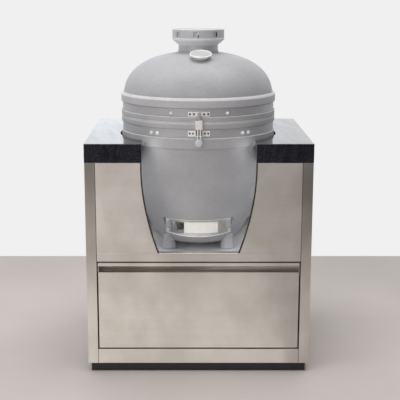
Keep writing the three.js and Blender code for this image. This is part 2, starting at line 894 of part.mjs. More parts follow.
function charcoalGrate() {
  const bottom = fireFloor + charcoalLedgeHeight + seatGap;
  const top = bottom + charcoalGrateThickness;
  const radius = charcoalLedgeRadius - charcoalGrateGap;
  let grate = disc(radius, bottom, top);
  for (let i = 0; i < charcoalSlots; i += 1) {
    const x = (i - (charcoalSlots - 1) / 2) * charcoalSlotPitch;
    const reach = Math.sqrt(radius ** 2 - x ** 2) - charcoalSlotPitch;
    const xs = [x - charcoalSlotWidth / 2, x + charcoalSlotWidth / 2];
    grate = grate.subtract(box(xs, [grillY - reach, grillY + reach], [bottom - overrun, top + overrun]));
  }
  return grate;
}
add('charcoal_grate', charcoalGrate(), castIron);

function cookingGrate() {
  const bottom = fireRingTop + seatGap;
  const top = bottom + cookingThickness;
  const rimMiddle = disc(cookingRadius - cookingRimWidth / 2, bottom, top);
  let grate = ring(cookingRadius - cookingRimWidth, cookingRadius, bottom, top);
  const pitch = (2 * cookingRadius) / (cookingBars + 1);
  for (let i = 0; i < cookingBars; i += 1) {
    const x = (i - (cookingBars - 1) / 2) * pitch;
    const xs = [x - cookingBarWidth / 2, x + cookingBarWidth / 2];
    const bar = box(xs, [grillY - cookingRadius, grillY + cookingRadius], [bottom, top]);
    grate = grate.add(bar.intersect(rimMiddle));
  }
  return grate;
}
add('cooking_grate', cookingGrate(), rodSteel);

// Four feet under the bowl, hollowed on top to its curve
const bowlOutside = turned([...bowlProfile(seatGap), [0, bowlTop - seatGap]]);
function grillFoot(x, y) {
  const profile = [
    [0, shelfTop],
    [footRadius - footRound / 2, shelfTop],
    [footRadius, shelfTop + footRound],
    [footTopRadius, shelfTop + footHeight - footRound],
    [footTopRadius - footRound, shelfTop + footHeight],
    [0, shelfTop + footHeight],
  ];
  return turned(profile, x, y, smallSteps).subtract(bowlOutside);
}
const footPlaces = [[-1, -1], [1, -1], [-1, 1], [1, 1]];
footPlaces.forEach(([sideX, sideY], i) => {
  add(`grill_foot_${i + 1}`, grillFoot(sideX * footOffset, grillY + sideY * footOffset), ceramic);
});

// Lid
function domeHeight(radius, spread, rise) {
  return domeMiddle + rise * (1 - (radius / spread) ** domePower) ** (1 / domePower);
}

function domeProfile(spread, rise, endRadius, steps) {
  const points = [];
  for (let i = 0; i <= steps; i += 1) {
    const angle = (i / steps) * (Math.PI / 2);
    const radius = spread * Math.cos(angle) ** (2 / domePower);
    if (radius > endRadius) points.push([radius, domeMiddle + rise * Math.sin(angle) ** (2 / domePower)]);
  }
  points.push([endRadius, domeHeight(endRadius, spread, rise)]);
  return points;
}

const crownTop = domeHeight(crownRadius, domeRadius, domeRise) + crownRise;
const dialY = grillY - dialBeforeAxis;
const dialZ = domeHeight(Math.hypot(dialBeforeAxis, dialSideOffset), domeRadius, domeRise) + dialLift;

// Stands a piece that was turned about the origin on the dome, tilted to the front.
function onDome(profile, steps = bigSteps) {
  const points = profile.map(([radius, height]) => new THREE.Vector2(radius, height));
  const geometry = new THREE.LatheGeometry(points, steps);
  geometry.rotateX(Math.PI / 2);
  geometry.rotateX(THREE.MathUtils.degToRad(dialTilt));
  geometry.translate(dialSideOffset, dialY, dialZ);
  return solidOf(geometry);
}

function lidShell() {
  const outside = domeProfile(domeRadius, domeRise, crownRadius, domeSteps)
    .filter(([, z]) => z > lidRingTop);
  const outline = [
    [0, lidBottom],
    [rimRadius, lidBottom],
    [rimRadius, lidBandBottom],
    [bandSeatRadius, lidBandBottom],
    [bandSeatRadius, lidRingBottom],
    [lidRingRadius - lidRingRound, lidRingBottom],
    [lidRingRadius, lidRingBottom + lidRingRound],
    [lidRingRadius, lidRingTop - lidRingRound],
    [lidRingRadius - lidRingRound, lidRingTop],
    ...outside,
    [crownRadius - crownRise / 2, crownTop],
    [0, crownTop],
  ];
  const inside = [
    [0, lidBottom - overrun],
    [innerRadius, lidBottom - overrun],
    ...domeProfile(innerRadius, domeRise - shellWall, chimneyRadius, domeInnerSteps),
    [chimneyRadius, crownTop + overrun],
    [0, crownTop + overrun],
  ];
  const stemHole = onDome([
    [0, -stemLength],
    [stemRadius + stemHoleGap, -stemLength],
    [stemRadius + stemHoleGap, caseHeight],
    [0, caseHeight],
  ], smallSteps);
  return turned(outline).subtract(turned(inside)).subtract(stemHole);
}
add('lid_shell', lidShell(), ceramic);

// Top vent: a fixed core with ports, and a slotted cap that turns over it
const neckBottom = crownTop + seatGap;
const neckTop = neckBottom + neckHeight;
const flareTop = neckTop + flareHeight;
const capBottom = flareTop + flareLip + seatGap;
const capTop = capBottom + capHeight;
const coreRadius = capRadius - capWall - 2 * seatGap;
const portTop = capTop - portBelowTop;

function cutPorts(solid, turn, innerR, outerR) {
  let cut = solid;
  for (let i = 0; i < ventPorts; i += 1) {
    const middle = turn + (i * fullTurn) / ventPorts;
    const from = middle - portAngle / 2;
    cut = cut.subtract(sector(innerR, outerR, from, from + portAngle, portTop - portHeight, portTop));
  }
  return cut;
}

function ventCore() {
  const lip = capBottom - seatGap;
  const top = capTop - capWall - seatGap;
  const profile = [
    [neckRadius - neckWall, neckBottom],
    [neckRadius, neckBottom],
    [neckRadius, neckTop],
    [capRadius, flareTop],
    [capRadius, lip],
    [coreRadius, lip],
    [coreRadius, top],
    [coreRadius - coreWall, top],
    [coreRadius - coreWall, flareTop],
    [neckRadius - neckWall, neckTop + neckWall / 2],
    [neckRadius - neckWall, neckBottom],
  ];
  return cutPorts(turned(profile), corePortTurn, coreRadius - 2 * coreWall, coreRadius + seatGap);
}
add('vent_core', ventCore(), ventPaint);

function ventCap() {
  const profile = [
    [0, capTop - capWall],
    [capRadius - capWall, capTop - capWall],
    [capRadius - capWall, capBottom],
    [capRadius, capBottom],
    [capRadius, capTop],
    [0, capTop],
  ];
  return cutPorts(turned(profile), portTurn, capRadius - 2 * capWall, capRadius + overrun);
}
add('vent_cap', ventCap(), ventPaint);

// Thermometer: a flared case on a stem that goes through the lid, with its glass let in
add('thermometer_case', onDome([
  [0, -stemLength],
  [stemRadius, -stemLength],
  [stemRadius, 0],
  [caseBottomRadius, 0],
  [caseRadius, caseFlank],
  [caseRadius, caseHeight - caseRim / 2],
  [caseRadius - caseRim / 2, caseHeight],
  [caseRadius - caseRim, caseHeight],
  [caseRadius - caseRim, caseHeight - glassDrop - glassThickness - seatGap],
  [0, caseHeight - glassDrop - glassThickness - seatGap],
], 2 * smallSteps), polished);
add('thermometer_glass', onDome([
  [0, caseHeight - glassDrop - glassThickness],
  [caseRadius - caseRim - seatGap, caseHeight - glassDrop - glassThickness],
  [caseRadius - caseRim - seatGap, caseHeight - glassDrop],
  [0, caseHeight - glassDrop],
], 2 * smallSteps), dialGlass);

// Hinge: the base's ears stand outside the lid's ears, on one pin with a coil spring in each half
const hingeAngle = halfAngle(hingeHalfWidth + hingePlateOverhang, bandRadius);
const plateInner = bandRadius + seatGap;

function ear(side, outerHalf, rootBottom, rootTop, startAngle, endAngle) {
  const shape = new THREE.Shape();
  shape.moveTo(grillY + plateInner - earRootDepth, rootTop);
  shape.lineTo(grillY + plateInner - earRootDepth, rootBottom);
  shape.absarc(
    pivotY,
    seam,
    earRadius,
    THREE.MathUtils.degToRad(startAngle),
    THREE.MathUtils.degToRad(endAngle),
    false,
  );
  shape.closePath();
  const inner = outerHalf - earThickness;
  return across(shape, [side * inner, side * outerHalf], arcSteps);
}

// What the hinge plates and ears must keep clear of, at the base and at the lid
const hingeClearance = turned([
  [0, bowlTop],
  [ringRadius + seatGap, bowlTop],
  [ringRadius + seatGap, baseRingTop + seatGap],
  [plateInner, baseRingTop + seatGap],
  [plateInner, lowBandTop - seatGap],
  [rimRadius + seatGap, lowBandTop - seatGap],
  [rimRadius + seatGap, lidBandBottom + seatGap],
  [plateInner, lidBandBottom + seatGap],
  [plateInner, lidRingBottom - seatGap],
  [lidRingRadius + seatGap, lidRingBottom - seatGap],
  [lidRingRadius + seatGap, lidRingTop],
  [0, lidRingTop],
]);

function hingeBracket(outerHalf, z0, z1, startAngle, endAngle) {
  const plateOuter = plateInner + hingePlate;
  const behind = fullTurn / 2;
  let bracket = sector(plateInner, plateOuter, behind - hingeAngle, behind + hingeAngle, z0, z1);
  for (const side of [-1, 1]) {
    bracket = bracket.add(ear(side, outerHalf, z0, z1, startAngle, endAngle));
  }
  const hole = crossBar(pinRadius + pinHoleGap, [-right, right], pivotY, seam);
  return bracket.subtract(hole).subtract(hingeClearance);
}
const lidEarOuter = hingeHalfWidth - earThickness - seatGap;
const lidEarInner = lidEarOuter - earThickness;
add('hinge_base_bracket', hingeBracket(
  hingeHalfWidth,
  baseRingTop + 2 * seatGap,
  lowBandTop - 2 * seatGap,
  earStartAngle,
  earEndAngle,
), polished);
add('hinge_lid_bracket', hingeBracket(
  lidEarOuter,
  lidBandBottom + 2 * seatGap,
  lidRingBottom - 2 * seatGap,
  lidEarStartAngle,
  lidEarEndAngle + fullTurn,
), polished);

function hingePin() {
  let pin = crossBar(pinRadius, [-hingeHalfWidth - seatGap, hingeHalfWidth + seatGap], pivotY, seam);
  for (const side of [-1, 1]) {
    const from = side * (hingeHalfWidth + seatGap);
    pin = pin.add(crossBar(pinHeadRadius, [from, from + side * pinHeadLength], pivotY, seam));
  }
  return pin;
}
add('hinge_pin', hingePin(), rodSteel);

// One unbroken tube wound round the pin. Its two ends leave it straight, square to the pin.
function springPath(side) {
  const coilRadius = pinRadius + springFit + springWire / 2;
  const start = springMiddleGap + springWire / 2;
  const length = lidEarInner - seatGap - springWire / 2 - start;
  const path = [];
  const count = springCurls * springSteps;
  for (let i = 0; i <= count; i += 1) {
    const angle = (i / springSteps) * 2 * Math.PI;
    const out = new THREE.Vector3(0, Math.cos(angle), Math.sin(angle));
    const centre = new THREE.Vector3(side * (start + (length * i) / count), pivotY, seam);
    path.push({ centre: centre.addScaledVector(out, coilRadius), out });
  }
  const tangent = new THREE.Vector3(0, 0, 1);
  const first = path[0];
  const last = path[path.length - 1];
  path.unshift({ centre: first.centre.clone().addScaledVector(tangent, -springWire), out: first.out });
  path.push({ centre: last.centre.clone().addScaledVector(tangent, springWire), out: last.out });
  return path;
}

function springLeastGap(path) {
  let least = Infinity;
  for (let i = 0; i < path.length; i += 1) {
    for (let j = i + springSteps / 2; j < path.length; j += 1) {
      least = Math.min(least, path[i].centre.distanceTo(path[j].centre) - springWire);
    }
  }
  return least;
}

function hingeSpring(side) {
  const path = springPath(side);
  console.log(`hinge spring: least gap to itself ${springLeastGap(path).toFixed(2)} mm`);
  const points = [];
  const corners = [];
  path.forEach(({ centre, out }) => {
    const along = new THREE.Vector3(1, 0, 0);
    for (let k = 0; k < springSides; k += 1) {
      const angle = (k / springSides) * 2 * Math.PI;
      const corner = centre.clone()
        .addScaledVector(out, (Math.cos(angle) * springWire) / 2)
        .addScaledVector(along, (Math.sin(angle) * springWire) / 2);
      points.push(...corner.toArray());
    }
  });
  for (let i = 0; i < path.length - 1; i += 1) {
    for (let k = 0; k < springSides; k += 1) {
      const a = i * springSides + k;
      const b = i * springSides + ((k + 1) % springSides);
      corners.push(a, b, b + springSides, a, b + springSides, a + springSides);
    }
  }
  const last = (path.length - 1) * springSides;
  for (let k = 1; k < springSides - 1; k += 1) {
    corners.push(0, k + 1, k);
    corners.push(last, last + k, last + k + 1);
  }
  const geometry = new THREE.BufferGeometry();
  geometry.setAttribute('position', new THREE.Float32BufferAttribute(points, 3));
  geometry.setIndex(corners);
  return solidOf(geometry);
}
add('hinge_spring_left', hingeSpring(-1), rodSteel);
add('hinge_spring_right', hingeSpring(1), rodSteel);

// Latch. The lid's tongue drops into an open-topped catch on the base, and the knob draws the pawl down.
const latchFront = stoneFront;
const latchAngle = halfAngle(latchPlateHalfWidth, bandRadius);
const plateFace = grillY - plateInner - latchPlate / 2;
const catchBack = grillY - rimRadius - 2 * seatGap;
const bossTop = lowBandTop - seatGap;
const blockBottom = bossTop + seatGap;
const blockTop = blockBottom + latchBlockHeight;
const rodY = catchBack - latchBlockFront - pawlDepth / 2;
const plateTop = lowBandTop - latchPlateBelowBand;
const bossBottom = plateTop - latchPlateHeight + latchSlotFloor;
const pawlBottom = blockBottom + latchSlotFloor + seatGap + pullTravel;
const tongueBottom = pawlBottom + pawlHeight + tongueRest;
const keeperTop = lidRingBottom - keeperBelowRing;
const keeperBottom = keeperTop - keeperHeight;

function latchPlateSector(z0, z1) {
  return sector(plateInner, plateInner + latchPlate, -latchAngle, latchAngle, z0, z1);
}

function latchBaseBracket() {
  let bracket = latchPlateSector(plateTop - latchPlateHeight, plateTop)
    .add(box([-latchBossHalfWidth, latchBossHalfWidth], [latchFront, plateFace], [bossBottom, bossTop]));
  for (const side of [-1, 1]) {
    const bore = post(rodRadius + rodGap, side * rodSpread, rodY, bossBottom - overrun, bossTop + overrun);
    bracket = bracket.subtract(bore);
  }
  return bracket;
}
add('latch_base_bracket', latchBaseBracket(), polished);

function latchBlock() {
  const half = latchBlockHalfWidth - latchBlockWall;
  const whole = box(
    [-latchBlockHalfWidth, latchBlockHalfWidth],
    [latchFront, catchBack],
    [blockBottom, blockTop],
  );
  const slot = box(
    [-half, half],
    [latchFront + latchBlockFront, catchBack + overrun],
    [blockBottom + latchSlotFloor, blockTop + overrun],
  );
  let catchBody = whole.subtract(slot);
  for (const side of [-1, 1]) {
    const bore = post(rodRadius + rodGap, side * rodSpread, rodY, blockBottom - overrun, blockTop);
    catchBody = catchBody.subtract(bore);
  }
  return catchBody;
}
add('latch_block', latchBlock(), polished);

function latchPawl() {
  const ys = [rodY - pawlDepth / 2, rodY + pawlDepth / 2];
  return box([-pawlHalfWidth, pawlHalfWidth], ys, [pawlBottom, pawlBottom + pawlHeight]);
}
add('latch_pawl', latchPawl(), rodSteel);

const knobTop = bossBottom - knobDrop;
const knobY = latchFront + knobThickness / 2;
const rodBottom = knobTop - knobRadius / 2;
const rodTop = pawlBottom - seatGap;
add('latch_rod_left', post(rodRadius, -rodSpread, rodY, rodBottom, rodTop), rodSteel);
add('latch_rod_right', post(rodRadius, rodSpread, rodY, rodBottom, rodTop), rodSteel);

// A round, flat knob with softened rims, bored for the rods
function latchKnob() {
  const half = knobThickness / 2;
  const points = [
    [0, -half],
    [knobRadius - knobRound, -half],
    [knobRadius, -half + knobRound],
    [knobRadius, half - knobRound],
    [knobRadius - knobRound, half],
    [0, half],
  ].map(([radius, height]) => new THREE.Vector2(radius, height));
  const geometry = new THREE.LatheGeometry(points, smallSteps);
  geometry.translate(0, knobY, knobTop - knobRadius);
  let knob = solidOf(geometry);
  for (const side of [-1, 1]) {
    const bore = post(rodRadius + seatGap, side * rodSpread, rodY, rodBottom - seatGap, knobTop + overrun);
    knob = knob.subtract(bore);
  }
  return knob;
}
add('latch_knob', latchKnob(), knobPlastic);

function latchKeeper() {
  const tongueFace = catchBack - latchBlockFront;
  const tongueXs = [-tongueHalfWidth, tongueHalfWidth];
  return latchPlateSector(keeperBottom, keeperTop)
    .add(box(tongueXs, [tongueFace - tongueDepth, tongueFace], [tongueBottom, keeperTop]))
    .add(box(tongueXs, [tongueFace - tongueDepth, plateFace], [keeperTop - tongueBridge, keeperTop]));
}
add('latch_keeper', latchKeeper(), polished);

export default table;
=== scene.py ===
import json
from math import asin, atan2, copysign, cos, degrees, hypot, pi, radians, sin, sqrt, tan

import bmesh
import bpy
from mathutils import Matrix, Vector


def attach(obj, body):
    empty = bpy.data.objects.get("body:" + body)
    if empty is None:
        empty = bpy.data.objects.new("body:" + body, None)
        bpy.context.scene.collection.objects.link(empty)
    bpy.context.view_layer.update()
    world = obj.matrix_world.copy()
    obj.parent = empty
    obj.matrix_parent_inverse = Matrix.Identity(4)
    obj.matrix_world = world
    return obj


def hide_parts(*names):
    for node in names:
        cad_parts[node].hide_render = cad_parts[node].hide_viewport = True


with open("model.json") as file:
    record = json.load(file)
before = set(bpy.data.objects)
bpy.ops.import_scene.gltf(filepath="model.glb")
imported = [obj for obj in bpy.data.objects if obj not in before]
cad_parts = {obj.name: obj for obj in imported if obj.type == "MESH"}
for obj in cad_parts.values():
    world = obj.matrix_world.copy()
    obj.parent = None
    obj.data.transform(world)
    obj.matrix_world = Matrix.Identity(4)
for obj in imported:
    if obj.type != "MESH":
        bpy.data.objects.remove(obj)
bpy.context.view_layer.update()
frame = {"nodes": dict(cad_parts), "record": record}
record = frame["record"]
cadNodes = frame["nodes"]
bodyOf = {node: body for body, nodes in record["behaviour"]["bodies"].items() for node in nodes}
slotOf = {entry["node"]: entry["material_slot"] for entry in record["subparts"]}
scene = bpy.context.scene
grillY = -0.053  # the grill's axis, behind the middle of the worktop
print("frame loaded,", len(cadNodes), "nodes")


class Sizes(dict):
    # a dictionary whose entries are also read as size.top
    __getattr__ = dict.__getitem__


# Camera
cameraFacts = Sizes(
    place=(-0.0454, -3.955, 1.457), pitchDown=12.13, focalPixels=972.1, pictureWidth=400,
    axisPixel=186.8, sensor=36, clipEnd=60,
)


def setUpCamera(facts):
    data = bpy.data.cameras.new("camera")
    data.sensor_width = facts.sensor
    data.lens = facts.sensor * facts.focalPixels / facts.pictureWidth
    data.shift_x = 0.5 - facts.axisPixel / facts.pictureWidth
    data.clip_end = facts.clipEnd
    camera = bpy.data.objects.new("camera", data)
    scene.collection.objects.link(camera)
    tilt = Matrix.Rotation(radians(90 - facts.pitchDown), 4, "X")
    camera.matrix_world = Matrix.Translation(facts.place) @ tilt
    scene.camera = camera


setUpCamera(cameraFacts)

# Mesh helpers
meshFacts = Sizes(
    merge=2e-6, sliver=1e-6, cutSliver=0.00001, shortest=1e-7, flatWeight=80,
    straight=178, smoothBelow=32,  # degrees
)


def pointAround(radius, around, height, centre=(0.0, grillY)):
    # degrees from the front, growing to the right
    angle = radians(around)
    return (centre[0] + radius * sin(angle), centre[1] - radius * cos(angle), height)


def arcPoints(centre, radius, fromDeg, toDeg, steps):
    angles = [radians(fromDeg + (toDeg - fromDeg) * k / steps) for k in range(steps + 1)]
    return [(centre[0] + radius * cos(a), centre[1] + radius * sin(a)) for a in angles]


def softened(corners, steps=5):
    # corners are (u, v) or (u, v, radius); a corner with a radius becomes an arc
    out = []
    for i, corner in enumerate(corners):
        here = Vector(corner[:2])
        radius = corner[2] if len(corner) > 2 else 0
        before = Vector(corners[i - 1][:2]) - here
        after = Vector(corners[(i + 1) % len(corners)][:2]) - here
        short = min(before.length, after.length) < meshFacts.shortest
        if radius <= 0 or short or before.angle(after) > radians(meshFacts.straight):
            out.append(tuple(here))
            continue
        turn = before.angle(after)
        reach = min(radius / tan(turn / 2), 0.49 * before.length, 0.49 * after.length)
        actual = reach * tan(turn / 2)
        between = (before.normalized() + after.normalized()).normalized()
        middle = here + between * actual / sin(turn / 2)
        first = here + before.normalized() * reach - middle
        last = here + after.normalized() * reach - middle
        start = atan2(first.y, first.x)
        sweep = (atan2(last.y, last.x) - start + pi) % (2 * pi) - pi
        for step in range(steps + 1):
            angle = start + sweep * step / steps
            out.append((middle.x + actual * cos(angle), middle.y + actual * sin(angle)))
    return out


def flowing(points, between=4):
    # a smooth curve through the points, Catmull-Rom
    out = []
    for i in range(len(points) - 1):
        around = (max(i - 1, 0), i, i + 1, min(i + 2, len(points) - 1))
        p0, p1, p2, p3 = (Vector(points[k]) for k in around)
        for step in range(between):
            t = step / between
            out.append(tuple(
                0.5 * (2 * p1 + (p2 - p0) * t + (2 * p0 - 5 * p1 + 4 * p2 - p3) * t ** 2
                       + (3 * p1 - p0 - 3 * p2 + p3) * t ** 3)
            ))
    out.append(tuple(points[-1]))
    return out


def skinned(rings, closed=False):
    # faces from ring to ring of points, with both ends filled unless the rings close
    count, total = len(rings[0]), len(rings)
    faces = []
    for i in range(total if closed else total - 1):
        here, after = i * count, (i + 1) % total * count
        for j in range(count):
            k = (j + 1) % count
            faces.append((here + j, here + k, after + k, after + j))
    if not closed:
        faces.append(tuple(range(count)))
        faces.append(tuple(range(total * count - 1, (total - 1) * count - 1, -1)))
    return [point for ring in rings for point in ring], faces


def turnedFaces(profile, steps, centre=(0.0, grillY)):
    # a closed loop of (radius, height) turned about an upright axis
    turns = [360 * k / steps for k in range(steps)]
    return skinned([[pointAround(r, turn, z, centre) for r, z in profile] for turn in turns], True)


def sectorFaces(innerR, outerR, fromDeg, toDeg, low, high, steps):
    # a piece of a ring round the grill's axis
    section = ((innerR, low), (outerR, low), (outerR, high), (innerR, high))
    turns = [fromDeg + (toDeg - fromDeg) * k / steps for k in range(steps + 1)]
    return skinned([[pointAround(r, turn, z) for r, z in section] for turn in turns])


def prismFaces(outline, low, high, along="z"):
    # an outline carried along one axis: (x, y) for z, (y, z) for x, (x, z) for y
    order = {"z": (0, 1, 2), "x": (2, 0, 1), "y": (0, 2, 1)}[along]
    count = len(outline)
    points = [tuple((u, v, w)[i] for i in order) for w in (low, high) for u, v in outline]
    faces = [tuple(range(count)), tuple(range(2 * count - 1, count - 1, -1))]
    for j in range(count):
        k = (j + 1) % count
        faces.append((j, count + j, count + k, k))
    return points, faces


def boxFaces(xs, ys, zs):
    return prismFaces([(xs[0], ys[0]), (xs[1], ys[0]), (xs[1], ys[1]), (xs[0], ys[1])], *zs)


def postFaces(radius, x, y, low, high, steps=24):
    return turnedFaces([(0.0, low), (radius, low), (radius, high), (0.0, high)], steps, (x, y))


def tubeFaces(path, radius, sides=10, closed=False):
    # a round bar along a path, its section carried without twisting
    path = [Vector(p) for p in path]
    last = len(path) - 1
    angles = [2 * pi * k / sides for k in range(sides)]
    rings = []
    side = None
    for i, here in enumerate(path):
        if closed:
            along = (path[(i + 1) % len(path)] - path[i - 1]).normalized()
        else:
            along = (path[min(i + 1, last)] - path[max(i - 1, 0)]).normalized()
        side = side or along.orthogonal().normalized()
        side = (side - along * side.dot(along)).normalized()
        other = along.cross(side)
        rings.append([tuple(here + (side * cos(a) + other * sin(a)) * radius) for a in angles])
    return skinned(rings, closed)


def joined(*shapes):
    points = []
    faces = []
    for shapePoints, shapeFaces in shapes:
        base = len(points)
        points += list(shapePoints)
        faces += [tuple(base + i for i in face) for face in shapeFaces]
    return points, faces


def moved(shape, matrix):
    points, faces = shape
    return [tuple(matrix @ Vector(p)) for p in points], faces


def setOn(place, normal, twist=0.0):
    # carries a shape that stands on the XY plane to a place, its Z along the normal
    turn = Vector(normal).normalized().to_track_quat("Z", "Y").to_matrix().to_4x4()
    return Matrix.Translation(place) @ turn @ Matrix.Rotation(radians(twist), 4, "Z")


def cleaned(mesh, sliver, isNew=False):
    # a new mesh has its doubled points merged and its faces turned outward too
    work = bmesh.new()
    work.from_mesh(mesh)
    if isNew:
        bmesh.ops.remove_doubles(work, verts=work.verts, dist=meshFacts.merge)
    bmesh.ops.dissolve_degenerate(work, dist=sliver, edges=work.edges)
    if isNew:
        bmesh.ops.recalc_face_normals(work, faces=work.faces)
    work.to_mesh(mesh)
    work.free()


def blank(name, shape):
    points, faces = shape
    mesh = bpy.data.meshes.new(name)
    mesh.from_pydata([tuple(p) for p in points], [], faces)
    cleaned(mesh, meshFacts.sliver, True)
    piece = bpy.data.objects.new(name, mesh)
    scene.collection.objects.link(piece)
    return piece


def settle(piece):
    # applies the modifiers, and takes out the slivers that cuts and bevels leave
    bpy.context.view_layer.update()
    seen = piece.evaluated_get(bpy.context.evaluated_depsgraph_get())
    mesh = bpy.data.meshes.new_from_object(seen)
    cleaned(mesh, meshFacts.cutSliver)
    old = piece.data
    piece.modifiers.clear()
    piece.data = mesh
    bpy.data.meshes.remove(old)


def combine(piece, operation, *tools):
    for tool in tools:
        if not isinstance(tool, bpy.types.Object):
            tool = blank("tool", tool)
        mod = piece.modifiers.new("combine", "BOOLEAN")
        mod.operation = operation
        mod.solver = "EXACT"
        mod.object = tool
        settle(piece)
        toolMesh = tool.data
        bpy.data.objects.remove(tool)
        bpy.data.meshes.remove(toolMesh)


def bevelled(piece, width, segments=2, angle=40):
    mod = piece.modifiers.new("bevel", "BEVEL")
    mod.width = width
    mod.segments = segments
    mod.limit_method = "ANGLE"
    mod.angle_limit = radians(angle)
    settle(piece)


def place(piece, mat, node=None, on=None, slot=None):
    # node is what the piece stands for, on is what it only rides with
    piece.data.materials.clear()
    piece.data.materials.append(mat)
    # smooth over the eased edges, with the normals of the large faces kept flat
    piece.data.polygons.foreach_set("use_smooth", [True] * len(piece.data.polygons))
    piece.data.set_sharp_from_angle(angle=radians(meshFacts.smoothBelow))
    mod = piece.modifiers.new("normals", "WEIGHTED_NORMAL")
    mod.keep_sharp = True
    mod.weight = meshFacts.flatWeight
    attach(piece, bodyOf[node or on])
    if node:
        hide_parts(node)
    return piece


def build(name, shape, mat, node=None, on=None, slot=None, keep=(), add=(), cut=(), ease=()):
    # keep, add and cut are shapes; ease is a bevel's width, segments and angle
    piece = blank(name, shape)
    for operation, tools in (("INTERSECT", keep), ("UNION", add), ("DIFFERENCE", cut)):
        combine(piece, operation, *tools)
    if ease:
        bevelled(piece, *ease)
    return place(piece, mat, node, on, slot)


def paintWhere(piece, mat, test):
    # gives the faces that pass the test a further material
    piece.data.materials.append(mat)
    number = len(piece.data.materials) - 1
    for face in piece.data.polygons:
        x, y, z = face.center.x, face.center.y - grillY, face.center.z
        radius = hypot(x, y)
        outward = (face.normal.x * x + face.normal.y * y) / max(radius, 1e-6)
        if test(radius, z, outward, face.normal.z):
            face.material_index = number


# Materials
def shaderOf(mat):
    return mat.node_tree.nodes["Principled BSDF"]


def newMaterial(name, colour, roughness, metallic=0.0, more=()):
    mat = bpy.data.materials.new(name)
    mat.use_nodes = True
    values = {"Base Color": (*colour, 1), "Roughness": roughness, "Metallic": metallic}
    values.update(more)
    for key, value in values.items():
        shaderOf(mat).inputs[key].default_value = value
    return mat


def addNode(mat, kind, inputs=None, **settings):
    node = mat.node_tree.nodes.new(kind)
    for key, value in settings.items():
        setattr(node, key, value)
    for key, value in (inputs or {}).items():
        node.inputs[key].default_value = value
    return node


def wire(mat, source, target):
    mat.node_tree.links.new(source, target)


def feed(mat, socket, source):
    wire(mat, source, shaderOf(mat).inputs[socket])


def grainOf(mat, stretch, detail=2.0, rough=0.5, turn=0.0):
    # noise per metre along X, Y and Z, in the piece's own space, its axes turned about Z
    coords = addNode(mat, "ShaderNodeTexCoord")
    mapping = addNode(mat, "ShaderNodeMapping", {
        "Scale": [1 / share for share in stretch], "Rotation": (0, 0, radians(turn)),
    }, vector_type="TEXTURE")
    noise = addNode(mat, "ShaderNodeTexNoise", {
        "Scale": 1.0, "Detail": detail, "Roughness": rough,
    })
    wire(mat, coords.outputs["Object"], mapping.inputs["Vector"])
    wire(mat, mapping.outputs["Vector"], noise.inputs["Vector"])
    return noise.outputs[0]


def cellsOf(mat, scale, smoothness=None):
    coords = addNode(mat, "ShaderNodeTexCoord")
    feature = "SMOOTH_F1" if smoothness else "F1"
    cells = addNode(mat, "ShaderNodeTexVoronoi", {"Scale": scale}, feature=feature)
    if smoothness:
        cells.inputs["Smoothness"].default_value = smoothness
    wire(mat, coords.outputs["Object"], cells.inputs["Vector"])
    return cells.outputs["Distance"]


def spread(mat, source, low, high, fromLow=0.3, fromHigh=0.7):
    node = addNode(mat, "ShaderNodeMapRange", {
        "From Min": fromLow, "From Max": fromHigh, "To Min": low, "To Max": high,
    })
    wire(mat, source, node.inputs["Value"])
    return node.outputs["Result"]


def mathOf(mat, operation, first, second):
    node = addNode(mat, "ShaderNodeMath", operation=operation)
    for socket, value in zip(node.inputs, (first, second)):
        if isinstance(value, (int, float)):
            socket.default_value = value
        else:
            wire(mat, value, socket)
    return node.outputs["Value"]


def blended(mat, first, second, share):
    # share is how much the first counts
    parts = [mathOf(mat, "MULTIPLY", *pair) for pair in ((first, share), (second, 1 - share))]
    return mathOf(mat, "ADD", *parts)


def tinted(mat, source, stops):
    node = addNode(mat, "ShaderNodeValToRGB")
    ramp = node.color_ramp
    while len(ramp.elements) < len(stops):
        ramp.elements.new(0.5)
    for element, (position, colour) in zip(ramp.elements, stops):
        element.position = position
        element.color = (*colour, 1)
    wire(mat, source, node.inputs["Fac"])
    return node.outputs["Color"]


def multiplied(mat, first, second):
    node = addNode(mat, "ShaderNodeMix", {0: 1.0}, data_type="RGBA", blend_type="MULTIPLY")
    wire(mat, first, node.inputs[6])
    wire(mat, second, node.inputs[7])
    return node.outputs[2]


def raised(mat, *layers):
    # layers are (height, distance in metres, strength)
    normal = None
    for height, distance, strength in layers:
        node = addNode(mat, "ShaderNodeBump", {"Strength": strength, "Distance": distance})
        wire(mat, height, node.inputs["Height"])
        if normal is not None:
            wire(mat, normal, node.inputs["Normal"])
        normal = node.outputs["Normal"]
    feed(mat, "Normal", normal)


def coated(mat, colour, rough):
    feed(mat, "Base Color", colour)
    feed(mat, "Roughness", rough)


def toned(colour, tone):
    return [channel * tone for channel in colour]


brushing = Sizes(
    fine=1100, broad=90, along=7,  # lines per metre across the grain, and along it
    light=(0.685, 0.654, 0.610), dark=(0.645, 0.613, 0.568), haze=(0.845, 0.847, 0.83),
    clouds=(6.5, 6.5, 5.2), roughness=(0.31, 0.35), anisotropy=0.8, metallic=1.0,
)
# a paler, barely metallic copy of the brushing for the grill shelf: painted light in the bay
litShelfBrushing = Sizes(
    brushing, light=(0.95, 0.95, 0.98), dark=(0.84, 0.84, 0.87), haze=(0.94, 0.94, 0.95),
    metallic=0.1,
)


